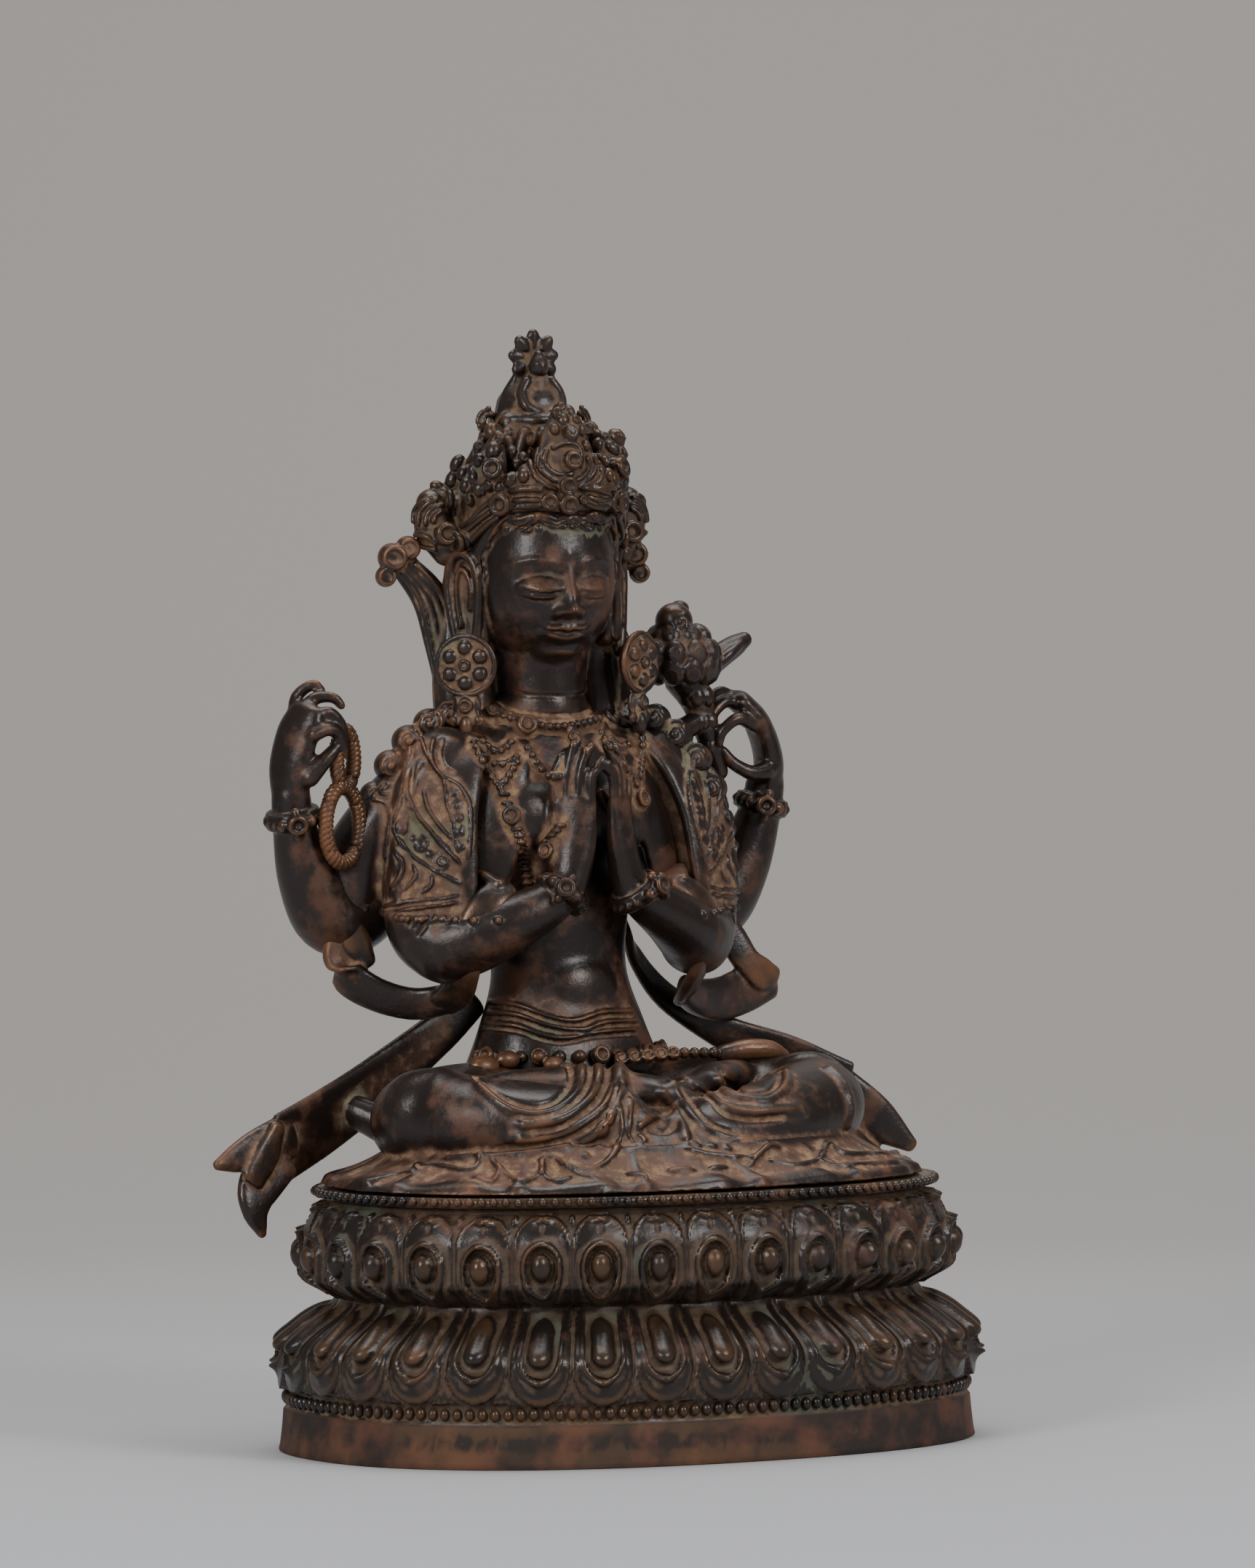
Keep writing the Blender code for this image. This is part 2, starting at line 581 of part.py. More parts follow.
def sashes(bm):
    """The long scarf: over each forearm, in a loop behind the elbow,
    and out to a tail beside the knee."""
    for side in (-1, 1):
        fore = [(side * 19, 12.5, 58.6, 3.0, 1.5), (side * 24.5, 12.8, 54, 3.2, 1.5),
            (side * 26.5, 15, 45, 3.2, 1.5),
                (side * 26.5, 20, 38, 3.4, 1.6), (side * 29, 26, 34.5, 3.2, 1.6)]
        sweep(bm, fore, side=(side, 0.3, 0.4), sides=10, power=3)
        over = [(side * 19, 12.5, 58.6, 3.0, 1.5), (side * 21, 17, 59.5, 3.0, 1.4),
            (side * 22, 22, 57, 3.0, 1.4)]
        sweep(bm, over, side=(side, 0.3, 0.4), sides=10, power=3)
    loop = [(-27, 23, 36, 3.0, 1.6), (-33, 29, 35, 3.2, 1.6), (-40, 33, 37.5, 3.4, 1.7),
        (-45, 35, 42, 3.6, 1.8),
            (-43, 35.5, 48, 3.2, 1.8), (-39, 35, 54, 3.2, 1.8)]
    sweep(bm, loop, side=(-0.5, 0.0, 0.9), sides=10, power=3)
    end = [(27, 23, 36, 3.0, 1.6), (33, 28, 34, 3.6, 1.6), (41, 32, 33.5, 4.4, 1.6),
        (49, 34, 35, 4.4, 1.5),
           (55, 34.5, 35.2, 2.6, 1.3)]
    sweep(bm, end, side=(0.2, 0.0, 0.9), sides=10, power=3)
    rise = [(49, 34, 37, 3.6, 1.6), (45, 35.5, 44, 3.8, 1.7), (40, 36, 51, 3.8, 1.8)]
    sweep(bm, rise, side=(0.9, 0.0, 0.4), sides=10, power=3)


def sash_tails(bm):
    """The scarf's two ends, which flare out past the base beside the hips and end in folded points."""
    wide_tail = [(-15, 35, 34, 3.0, 1.8), (-25, 36, 26, 4.8, 1.9), (-38, 34, 18, 6.4, 1.9),
        (-52, 30, 11.5, 7.4, 1.9),
                 (-65, 26, 6.0, 8.0, 1.8)]
    sweep(bm, wide_tail, side=(0.4, 0.0, 0.9), sides=14, power=3)
    sweep(bm, [(-64, 26, 8.5, 4.0, 1.7), (-73, 23.5, 5.8, 3.6, 1.6),
        (-80.5, 22, 4.6, 1.6, 1.2)], side=(0.4, 0.2, 0.9), sides=12, power=3)
    sweep(bm, [(-67, 25, 4.0, 5.0, 1.7), (-71.5, 23, -1.5, 4.4, 1.7), (-71.5, 22, -6.0, 2.6, 1.5),
        (-70.2, 22, -9.8, 1.2, 1.2)],
          side=(0.9, 0.2, 0.5), sides=12, power=3)
    narrow_tail = [(18, 33, 50, 2.4, 1.7), (23, 35, 42, 2.6, 1.8), (31, 36.5, 33.5, 3.0, 1.8),
        (44, 36, 25.5, 3.8, 1.9),
                   (56, 32, 20, 5.4, 1.9), (66, 27.5, 13.5, 6.8, 1.9)]
    sweep(bm, narrow_tail, side=(-0.4, 0.0, 0.9), sides=12, power=3)
    sweep(bm, [(65, 28, 13.5, 5.6, 1.8), (73, 24.5, 7.0, 4.6, 1.7),
        (80, 22, 1.6, 1.8, 1.3)], side=(-0.5, 0.2, 0.9), sides=12, power=3)
    sweep(bm, [(66, 27, 7.0, 5.0, 1.7), (71, 23.5, 0.5, 4.0, 1.7),
        (72, 22, -4.0, 1.6, 1.3)], side=(0.9, 0.2, -0.5), sides=12, power=3)
    # The tails are joined to the thighs where they pass, as in the cast.
    limb(bm, [(-36, 22, 8, 4.5), (-44, 31, 13, 3.6)], sides=10)
    limb(bm, [(36, 22, 8, 4.5), (48, 32, 19, 3.6)], sides=10)


def figure_mesh():
    bm = bmesh.new()
    for member in (
        torso, belt, legs, skirt_folds, hem, front_arms, rear_arms, right_rear_hand, rosary,
        left_rear_hand_and_lotus, head, crown_ribbons, crown, crown_buddha, shoulder_hair, shawl,
            necklace,
        sashes, sash_tails,
    ):
        member(bm)
    bmesh.ops.recalc_face_normals(bm, faces=bm.faces)
    bmesh.ops.scale(bm, vec=(PART, PART, PART), verts=bm.verts)
    return bm


# Finishing


def object_from(bm, name, material=None):
    mesh = bpy.data.meshes.new(name)
    bm.to_mesh(mesh)
    bm.free()
    obj = bpy.data.objects.new(name, mesh)
    bpy.context.collection.objects.link(obj)
    if material:
        mesh.materials.append(material)
    return obj


def settle(obj):
    """Makes the object's modifiers part of its mesh."""
    graph = bpy.context.evaluated_depsgraph_get()
    mesh = bpy.data.meshes.new_from_object(obj.evaluated_get(graph))
    obj.modifiers.clear()
    obj.data = mesh


def thin_to(obj, triangles):
    obj.data.calc_loop_triangles()
    modifier = obj.modifiers.new("thin", "DECIMATE")
    modifier.ratio = min(1.0, triangles / max(1, len(obj.data.loop_triangles)))
    modifier.use_collapse_triangulate = True
    settle(obj)


def largest_skin(obj):
    """Drops every loose shell but the largest, such as a pocket closed in between two limbs."""
    bm = bmesh.new()
    bm.from_mesh(obj.data)
    left = set(bm.verts)
    shells = []
    while left:
        start = left.pop()
        shell = {start}
        edge_of = [start]
        while edge_of:
            vertex = edge_of.pop()
            for edge in vertex.link_edges:
                other = edge.other_vert(vertex)
                if other in left:
                    left.discard(other)
                    shell.add(other)
                    edge_of.append(other)
        shells.append(shell)
    shells.sort(key=len, reverse=True)
    for shell in shells[1:]:
        bmesh.ops.delete(bm, geom=list(shell), context="VERTS")
    bm.to_mesh(obj.data)
    bm.free()


def seat_cutter(name):
    """The room that the base takes: an oval block, up to the seat, with a named clearance."""
    bm = bmesh.new()
    spread = PETAL_RELIEF + TAIL_CLEARANCE - UPPER_INSET
    columns = 96
    rings = []
    for height in (-BASE_HEIGHT, 0.0):
        ring_verts = []
        for column in range(columns):
            point = oval_point(-spread, math.tau * column / columns)
            point.z = height
            ring_verts.append(bm.verts.new(point))
        rings.append(ring_verts)
    for i in range(columns):
        j = (i + 1) % columns
        bm.faces.new((rings[0][i], rings[0][j], rings[1][j], rings[1][i]))
    bm.faces.new(list(reversed(rings[0])))
    bm.faces.new(rings[1])
    cutter = object_from(bm, name)
    cutter.hide_render = True
    cutter.display_type = "WIRE"
    return cutter


def make_lotus_base():
    base = object_from(lotus_base_mesh(), "lotus_base", copper("base_copper", 0.45))
    thin_to(base, BASE_TRIANGLES)
    bm = bmesh.new()
    bm.from_mesh(base.data)
    for vertex in bm.verts:
        # The thinning leaves the two flat faces a hair out of plane.
        if vertex.co.z < 0.1 * FOOT_HEIGHT:
            vertex.co.z = 0.0
        elif vertex.co.z > BASE_HEIGHT - 0.02 * RIM_THICKNESS:
            vertex.co.z = BASE_HEIGHT
    bm.to_mesh(base.data)
    bm.free()
    return base


def make_figure():
    figure = object_from(figure_mesh(), "bodhisattva_figure", copper("figure_copper", 0.35))
    fuse = figure.modifiers.new("fuse", "REMESH")
    fuse.mode = "VOXEL"
    fuse.voxel_size = FIGURE_VOXEL
    soften = figure.modifiers.new("soften", "SMOOTH")
    soften.factor = 0.5
    soften.iterations = 5
    settle(figure)
    largest_skin(figure)
    thin_to(figure, FIGURE_TRIANGLES)
    cutter = seat_cutter("room_for_base")
    cut = figure.modifiers.new("seat", "BOOLEAN")
    cut.operation = "DIFFERENCE"
    cut.object = cutter
    # The thinned skin may cross itself in tight folds, which the cut has to allow for.
    cut.use_self = True
    settle(figure)
    largest_skin(figure)
    bpy.data.objects.remove(cutter)
    figure.location.z = BASE_HEIGHT + SEAT_GAP
    return figure


def main():
    clear_scene()
    for piece in (make_lotus_base(), make_figure()):
        piece.data.shade_smooth()
        piece.data.set_sharp_from_angle(angle=math.radians(40))


main()
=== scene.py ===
import math
import bpy
import numpy as np
from mathutils import Matrix, Vector
from mathutils.bvhtree import BVHTree
from mathutils.kdtree import KDTree


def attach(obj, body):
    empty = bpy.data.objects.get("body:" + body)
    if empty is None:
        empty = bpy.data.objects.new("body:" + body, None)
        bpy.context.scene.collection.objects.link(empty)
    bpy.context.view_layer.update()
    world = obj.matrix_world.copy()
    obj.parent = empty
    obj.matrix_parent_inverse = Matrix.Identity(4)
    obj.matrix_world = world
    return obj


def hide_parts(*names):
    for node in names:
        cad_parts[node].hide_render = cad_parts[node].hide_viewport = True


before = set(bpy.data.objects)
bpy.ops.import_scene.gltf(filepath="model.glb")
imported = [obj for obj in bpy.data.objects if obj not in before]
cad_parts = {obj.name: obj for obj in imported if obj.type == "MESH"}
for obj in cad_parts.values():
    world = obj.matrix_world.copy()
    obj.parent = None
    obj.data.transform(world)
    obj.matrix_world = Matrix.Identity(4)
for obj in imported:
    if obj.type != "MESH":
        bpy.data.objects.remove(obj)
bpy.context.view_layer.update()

# Everything is modelled in millimetres, with z counted from the seat, and goes to metres at the end.
seatHeight = 52.8

photoCamera = {
    "azimuth": -30.0,
    "distance": 2.2,
    "height": 0.204,
    "lookAt": (0.0011, 0.0, 0.131),
    "roll": -0.53,
    "lens": 254.0,
}
# Close-ups of the photograph in which lines were read: their corner in it, and how much they enlarge it.
photoSize = (1600, 2000)
chestView = {"corner": (440, 840), "scale": 3.45}
legsView = {"corner": (440, 1270), "scale": 2.587}
headView = {"corner": (519.4, 389.6), "scale": 4.043}
headTurn = Matrix.Translation((0, 33.4, 0)) @ Matrix.Rotation(math.radians(-8), 4,
    "Z") @ Matrix.Translation((0, -33.4, 0))


def makeCamera():
    a = math.radians(photoCamera["azimuth"])
    reach = photoCamera["distance"]
    spot = Vector((math.sin(a) * reach, -math.cos(a) * reach, photoCamera["height"]))
    bpy.ops.object.camera_add(location=spot)
    made = bpy.context.object
    turn = (Vector(photoCamera["lookAt"]) - spot).to_track_quat("-Z", "Y").to_matrix().to_4x4()
    roll = Matrix.Rotation(math.radians(photoCamera["roll"]), 4, "Z")
    made.matrix_world = Matrix.Translation(spot) @ turn @ roll
    made.data.lens = photoCamera["lens"]
    made.data.sensor_width = 36
    made.data.clip_end = 20
    bpy.context.scene.camera = made
    return made


camera = makeCamera()
print("camera ready")


# Mesh helpers. A skin is a loose gathering of closed forms that are later fused into one piece.


def deselectAll():
    for thing in bpy.context.selected_objects:
        thing.select_set(False)


def newSkin():
    return {"points": [], "faces": [], "count": 0}


def pour(skin, points, faces):
    skin["points"].append(np.asarray(points, float))
    skin["faces"].append(np.asarray(faces, int) + skin["count"])
    skin["count"] += len(points)


def smoothLine(points, steps=6):  # a curve that passes through all the points
    p = np.array(points, float)
    if len(p) < 3:
        t = np.linspace(0, 1, steps + 1)[:, None]
        return p[0] * (1 - t) + p[-1] * t
    padded = np.vstack([2 * p[0] - p[1], p, 2 * p[-1] - p[-2]])
    out = []
    for a, b, c, d in zip(padded, padded[1:], padded[2:], padded[3:]):
        for t in np.arange(steps) / steps:
            bend, twist = 2 * a - 5 * b + 4 * c - d, 3 * b - a - 3 * c + d
            out.append(0.5 * (2 * b + (c - a) * t + bend * t * t + twist * t**3))
    out.append(p[-1])
    return np.array(out)


def evenLine(line, gap):  # the same curve with its points an equal gap apart
    steps = np.linalg.norm(np.diff(line[:, :3], axis=0), axis=1)
    run = np.concatenate([[0], np.cumsum(steps)])
    count = max(2, int(round(run[-1] / gap)) + 1)
    wanted = np.linspace(0, run[-1], count)
    return np.stack([np.interp(wanted, run, line[:, k]) for k in range(line.shape[1])], 1)


def unit(vectors):
    return vectors / np.maximum(np.linalg.norm(vectors, axis=-1, keepdims=True), 1e-9)


def roundPower(values, power):
    return np.sign(values) * np.abs(values) ** (2 / power)


def loft(skin, rings, tips):  # joins rings of points and closes each end to its tip
    count, sides = rings.shape[:2]
    k = np.arange(sides)
    n = (k + 1) % sides
    faces = []
    for r in range(count - 1):
        a, b = r * sides, (r + 1) * sides
        faces += [np.stack([a + k, a + n, b + n], 1), np.stack([a + k, b + n, b + k], 1)]
    total, last = count * sides, (count - 1) * sides
    faces.append(np.stack([n, k, np.full(sides, total)], 1))
    faces.append(np.stack([last + k, last + n, np.full(sides, total + 1)], 1))
    pour(skin, np.vstack([rings.reshape(-1, 3), tips]), np.vstack(faces))


def acrossOf(run):  # two directions across each step of a line
    hint = np.where(np.abs(run[:, 2:3]) < 0.9, [[0, 0, 1.0]], [[0, 1.0, 0]])
    across = unit(np.cross(run, hint))
    return across, np.cross(run, across)


def sweep(skin, points, side=(1, 0, 0), sides=18, power=2.0, steps=6, cap=9.0):
    # points: (x, y, z, half width, half thickness), rounded off over cap at the ends
    line = smoothLine(points, steps)
    spots, wide, deep = line[:, :3], np.maximum(line[:, 3], 0.06), np.maximum(line[:, 4], 0.06)
    run = unit(np.gradient(spots, axis=0))
    hint = np.array(side, float)
    across = unit(hint - run * (run @ hint)[:, None])
    up = np.cross(run, across)
    angle = np.arange(sides) / sides * math.tau
    ringX, ringY = roundPower(np.cos(angle), power), roundPower(np.sin(angle), power)
    ends = [(math.cos(math.radians(d)), math.sin(math.radians(d))) for d in (72, 48, 24)]
    order = [(0, s, -h) for s, h in ends] + [(i, 1, 0) for i in range(len(spots))]
    order += [(len(spots) - 1, s, h) for s, h in reversed(ends)]
    rings = []
    for i, share, shift in order:
        reach = min(wide[i], deep[i], cap)
        middle = spots[i] + run[i] * shift * reach
        rings.append(middle + (across[i] * ringX[:, None] * wide[i] + up[i] * ringY[:,
            None] * deep[i]) * share)
    tips = [spots[i] + way * run[i] * min(wide[i], deep[i], cap) for i, way in ((0, -1), (-1, 1))]
    loft(skin, np.array(rings), tips)


def limb(skin, points, sides=14, steps=6):
    sweep(skin, [(x, y, z, r, r) for x, y, z, r in points], side=(0.3, 0.9, 0.2), sides=sides, steps=steps)


def wire(skin, line, radius, sides=8):  # a thin rod laid along finished points
    run = unit(np.gradient(line, axis=0))
    across, up = acrossOf(run)
    angle = np.arange(sides) / sides * math.tau
    turn = np.cos(angle)[None, :, None] * across[:, None] + np.sin(angle)[None, :, None] * up[:, None]
    tips = [line[0] - run[0] * radius * 0.6, line[-1] + run[-1] * radius * 0.6]
    loft(skin, line[:, None] + turn * radius, tips)





def takeMesh(made):  # the points and triangles of a new primitive, which is then put away
    mesh = made.data
    mesh.calc_loop_triangles()
    points = np.empty(len(mesh.vertices) * 3)
    mesh.vertices.foreach_get("co", points)
    faces = np.empty(len(mesh.loop_triangles) * 3, np.int32)
    mesh.loop_triangles.foreach_get("vertices", faces)
    bpy.data.objects.remove(made)
    return points.reshape(-1, 3), faces.reshape(-1, 3)


bpy.ops.mesh.primitive_uv_sphere_add(segments=24, ring_count=14, radius=1)
roundForm = takeMesh(bpy.context.object)
bpy.ops.mesh.primitive_uv_sphere_add(segments=12, ring_count=8, radius=1)
beadForm = takeMesh(bpy.context.object)


def turned(turn):
    x, y, z = (math.radians(v) for v in turn)
    return np.array(Matrix.Rotation(z, 3, "Z") @ Matrix.Rotation(y, 3, "Y") @ Matrix.Rotation(x, 3, "X"))


def ball(skin, centre, radii, turn=(0, 0, 0), form=None):
    points, faces = form or roundForm
    pour(skin, (points * np.array(radii)) @ turned(turn).T + np.array(centre), faces)


def facingFrame(facing, up=(0, 0, 1)):
    out = unit(np.array(facing, float))
    hint = np.array(up, float)
    if abs(out @ hint) > 0.95:
        hint = np.array((0, 1.0, 0))
    right = unit(np.cross(hint, out))
    return right, np.cross(out, right), out


def bead(skin, centre, radius, facing=(0, 0, 1), flat=1.0, stretch=(1, 1)):
    right, up, out = facingFrame(facing)
    points, faces = beadForm
    frameOf = np.stack([right * radius * stretch[0], up * radius * stretch[1], out * radius * flat])
    pour(skin, points @ frameOf + np.array(centre), faces)


def hoop(skin, centre, facing, radius, thickness, around=20, sides=8):
    right, up, out = facingFrame(facing)
    a = np.arange(around) / around * math.tau
    b = np.arange(sides) / sides * math.tau
    spoke = np.cos(a)[:, None] * right + np.sin(a)[:, None] * up
    reach = (radius + thickness * np.cos(b))[None, :, None] * spoke[:, None]
    rings = np.array(centre) + reach + out * (thickness * np.sin(b))[None, :, None]
    i = np.arange(around)[:, None] * sides
    j = ((np.arange(around) + 1) % around)[:, None] * sides
    k = np.arange(sides)[None]
    n = (k + 1) % sides
    first = np.stack([i + k, j + k, j + n], -1).reshape(-1, 3)
    second = np.stack([i + k, j + n, i + n], -1).reshape(-1, 3)
    pour(skin, rings.reshape(-1, 3), np.vstack([first, second]))


def boss(skin, centre, facing, radius, pit=0.40):  # a round jewel setting: a thick ring with a pit
    centre = np.array(centre, float)
    out = unit(np.array(facing, float))
    bead(skin, centre - out * radius * 0.3, radius, facing, flat=0.45)
    hoop(skin, centre + out * radius * 0.30, facing, radius * (pit + 0.28), radius * 0.30)


def spiral(skin, centre, facing, radius, turns=1.6, start=0.0, hand=1, thickness=0.35, up=(0, 0, 1)):
    right, top, out = facingFrame(facing, up)
    t = np.linspace(0, 1, int(22 * turns))
    angle = math.radians(start) + hand * t * turns * math.tau
    reach = radius * (1 - t * 0.82)
    line = np.array(centre) + (np.cos(angle) * reach)[:, None] * right + (np.sin(angle) * reach)[:,
        None] * top
    line += out * (t * radius * 0.18)[:, None]
    wire(skin, line, thickness)
    bead(skin, line[-1], thickness * 1.5, facing)


def rope(skin, line, radius, pitch, strands=2, strand=0.55):
    line = evenLine(line, pitch / 9)
    across, up = acrossOf(unit(np.gradient(line, axis=0)))
    angle = np.arange(len(line)) / 9 * math.tau
    for s in range(strands):
        a = angle + s * math.tau / strands
        wire(skin, line + (np.cos(a)[:, None] * across + np.sin(a)[:, None] * up) * radius * 0.5,
            radius * strand)


def beadRow(skin, line, radius, pitch, flat=1.0, normals=None, stretch=(1, 1)):
    even = evenLine(line if normals is None else np.hstack([line, normals]), pitch)
    for spot in even:
        facing = (0, -1, 0) if normals is None else spot[3:6]
        bead(skin, spot[:3], radius, facing, flat, stretch)


def mirrored(points):
    return [(-p[0], *p[1:]) for p in points]


def bothSides(make, points):
    make(points)
    make(mirrored(points))


# Pieces


def meshFrom(name, skin):
    points, faces = np.vstack(skin["points"]), np.vstack(skin["faces"])
    mesh = bpy.data.meshes.new(name)
    mesh.vertices.add(len(points))
    mesh.vertices.foreach_set("co", points.ravel())
    mesh.loops.add(faces.size)
    mesh.loops.foreach_set("vertex_index", faces.ravel().astype(np.int32))
    mesh.polygons.add(len(faces))
    mesh.polygons.foreach_set("loop_start", np.arange(0, faces.size, 3, dtype=np.int32))
    mesh.update(calc_edges=True)
    mesh.validate()
    piece = bpy.data.objects.new(name, mesh)
    bpy.context.collection.objects.link(piece)
    return piece


def applied(piece, kind, **settings):
    modifier = piece.modifiers.new(kind.title(), kind)
    for key, value in settings.items():
        setattr(modifier, key, value)
    bpy.context.view_layer.objects.active = piece
    bpy.ops.object.modifier_apply(modifier=modifier.name)


def fuse(piece, voxel, rounds, factor=0.5):
    applied(piece, "REMESH", mode="VOXEL", voxel_size=voxel * 1.0)
    if rounds:
        applied(piece, "SMOOTH", factor=factor, iterations=rounds)


def softened(name, skin, voxel, rounds):  # the broad forms, blended into each other
    piece = meshFrom(name, skin)
    fuse(piece, voxel, rounds)
    blended = newSkin()
    pour(blended, *takeMesh(piece))
    return blended


def treeOf(skin):
    return BVHTree.FromPolygons(np.vstack(skin["points"]).tolist(), np.vstack(skin["faces"]).tolist())


def treeOfPiece(piece):
    return BVHTree.FromPolygons(coordinates(piece).tolist(),
        [tuple(p.vertices) for p in piece.data.polygons])


def pixelRay(x, y):  # from the camera through a pixel of the photograph, in the figure's millimetres
    focal = photoCamera["lens"] / 36 * photoSize[1]
    across, down = (x - photoSize[0] / 2) / focal, (y - photoSize[1] / 2) / focal
    way = camera.matrix_world.to_3x3() @ Vector((across, -down, -1))
    start = camera.matrix_world.translation * 1000
    return Vector((start.x, start.y, start.z - seatHeight)), way.normalized()


def seen(tree, view, points, steps=5, smooth=True, turn=None, reach=0.0):
    # points of a close-up, brought onto the surface that shows there: places and normals.
    # turn is how the form is turned later; reach lets points just outside the outline count.
    line = smoothLine(points, steps) if smooth else np.array(points, float)
    spots, normals = [], []
    for u, v in line:
        start, way = pixelRay(view["corner"][0] + u / view["scale"], view["corner"][1] + v / view["scale"])
        if turn is not None:
            start, way = turn.inverted() @ start, turn.to_3x3().inverted() @ way
        hit, normal, _, _ = tree.ray_cast(start, way)
        if hit is None and reach:
            beside = start + way * (Vector((0, 30, 100)) - start).dot(way)
            near, normal, _, gap = tree.find_nearest(beside)
            if gap < reach * 3:
                hit = start + way * (near - start).dot(way)
                hit = hit if (hit - near).length <= reach else None
        if hit is None:
            continue
        if normal.dot(way) > 0:
            normal = -normal
        spots.append(tuple(hit))
        normals.append(tuple(normal))
    return np.array(spots), np.array(normals)


def otherSide(tree, spots):  # the same line on the other side of the figure, laid onto its surface
    out, normals = [], []
    for x, y, z in spots:
        hit, normal, _, _ = tree.find_nearest((-x, y, z))
        out.append(tuple(hit))
        normals.append(tuple(normal))
    return np.array(out), np.array(normals)


def onTo(tree, points, steps=6):  # a line in space, laid onto the nearest surface
    spots, normals = [], []
    for p in smoothLine(points, steps):
        hit, normal, _, _ = tree.find_nearest(tuple(p))
        spots.append(tuple(hit))
        normals.append(tuple(normal))
    return np.array(spots), np.array(normals)


def coordinates(piece, field="co"):
    values = np.empty(len(piece.data.vertices) * 3)
    if field == "co":
        piece.data.vertices.foreach_get("co", values)
    else:
        piece.data.vertex_normals.foreach_get("vector", values)
    return values.reshape(-1, 3)


def moved(piece, places):
    piece.data.vertices.foreach_set("co", places.ravel())
    piece.data.update()


def relief(piece, lines):
    # lines: (points, half width, height); a height below zero is a groove
    places, normals = coordinates(piece), coordinates(piece, "normal")
    tree = KDTree(len(places))
    for i, place in enumerate(places):
        tree.insert(place, i)
    tree.balance()
    rise = np.zeros(len(places))
    for line, width, height in lines:
        if len(line) < 2:
            continue
        nearest = {}
        samples = evenLine(np.asarray(line), 0.3)
        taper = np.clip(np.minimum(np.arange(len(samples)), np.arange(len(samples))[::-1]) / 5 + 0.25, 0, 1)
        for spot, strength in zip(samples, taper):
            for _, i, reach in tree.find_range(spot[:3], width * 2.2):
                value = strength * math.exp(-((reach / width) ** 2))
                if value > nearest.get(i, 0):
                    nearest[i] = value
        if nearest:
            index = np.fromiter(nearest, int)
            rise[index] += np.fromiter(nearest.values(), float) * height
    moved(piece, places + normals * np.clip(rise, -1.6, 2.2)[:, None])


def smoothed(values, first, second, degree, rounds):
    for _ in range(rounds):
        total = np.empty_like(values)
        for k in range(values.shape[1]):
            total[:, k] = np.bincount(first, weights=values[second, k], minlength=len(values))
            total[:, k] += np.bincount(second, weights=values[first, k], minlength=len(values))
        values = values * 0.4 + 0.6 * total / degree[:, None]
    return values


def markHollows(piece):  # how far each point lies in a hollow, 0.5 on level ground: finely, and over a few mm
    places, normals = coordinates(piece), coordinates(piece, "normal")
    edges = np.empty(len(piece.data.edges) * 2, np.int32)
    piece.data.edges.foreach_get("vertices", edges)
    first, second = edges[0::2], edges[1::2]
    edge = float(np.median(np.linalg.norm(places[first] - places[second], axis=1)))
    reach = min(2.2, (0.36 / edge) ** 2)
    degree = np.maximum(1, np.bincount(first, minlength=len(places)) + np.bincount(second,
        minlength=len(places)))
    fine = smoothed(places, first, second, degree, int(np.clip(9 * reach, 5, 18)))
    broad = smoothed(fine, first, second, degree, int(np.clip((52) * reach, 16, 100)))
    for name, soft, span in (("hollow", fine, 0.30), ("deep", broad, 1.4)):
        depth = ((soft - places) * normals).sum(1)
        depth = smoothed(depth[:, None], first, second, degree, 1)[:, 0]
        attribute = piece.data.attributes.new(name, "FLOAT", "POINT")
        attribute.data.foreach_set("value", np.clip(0.5 + depth / span, 0, 1).astype(np.float32))


def finish(piece, material, limit=190000, stands=None, turn=None, worked=0.0):
    piece.data.calc_loop_triangles()
    count = len(piece.data.loop_triangles)
    if count > limit:
        applied(piece, "DECIMATE", ratio=limit / count)
    markHollows(piece)
    places = coordinates(piece)
    share = worked(places) if callable(worked) else np.full(len(places), worked)
    piece.data.attributes.new("worked", "FLOAT", "POINT").data.foreach_set("value",
        share.astype(np.float32))
    if turn is not None:
        piece.data.transform(turn)
    piece.data.transform(Matrix.Translation((0, 0, seatHeight / 1000)) @ Matrix.Scale(0.001, 4))
    piece.data.shade_smooth()
    piece.data.materials.append(material)
    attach(piece, "root")
    if stands:
        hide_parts(stands)
    piece.data.calc_loop_triangles()
    print(piece.name, len(piece.data.loop_triangles), "triangles")


def nearness(spots, reach):  # for each place, 1 close to the spots and 0 beyond the reach
    tree = KDTree(len(spots))
    for i, spot in enumerate(spots):
        tree.insert(spot, i)
    tree.balance()
    return lambda places: easeStep(reach, reach * 0.45, np.array([tree.find(p)[2] for p in places]))


# Materials


def linear(hexColour):
    parts = [int(hexColour[i : i + 2], 16) / 255 for i in (1, 3, 5)]
    return tuple(v / 12.92 if v <= 0.04045 else ((v + 0.055) / 1.055) ** 2.4 for v in parts) + (1.0,)


def addNode(tree, kind, settings=None, links=None):
    node = tree.nodes.new(kind)
    for key, value in (settings or {}).items():
        if isinstance(key, str) and hasattr(node, key):
            setattr(node, key, value)
        else:
            node.inputs[key].default_value = value
    for key, source in (links or {}).items():
        tree.links.new(source, node.inputs[key])
    return node


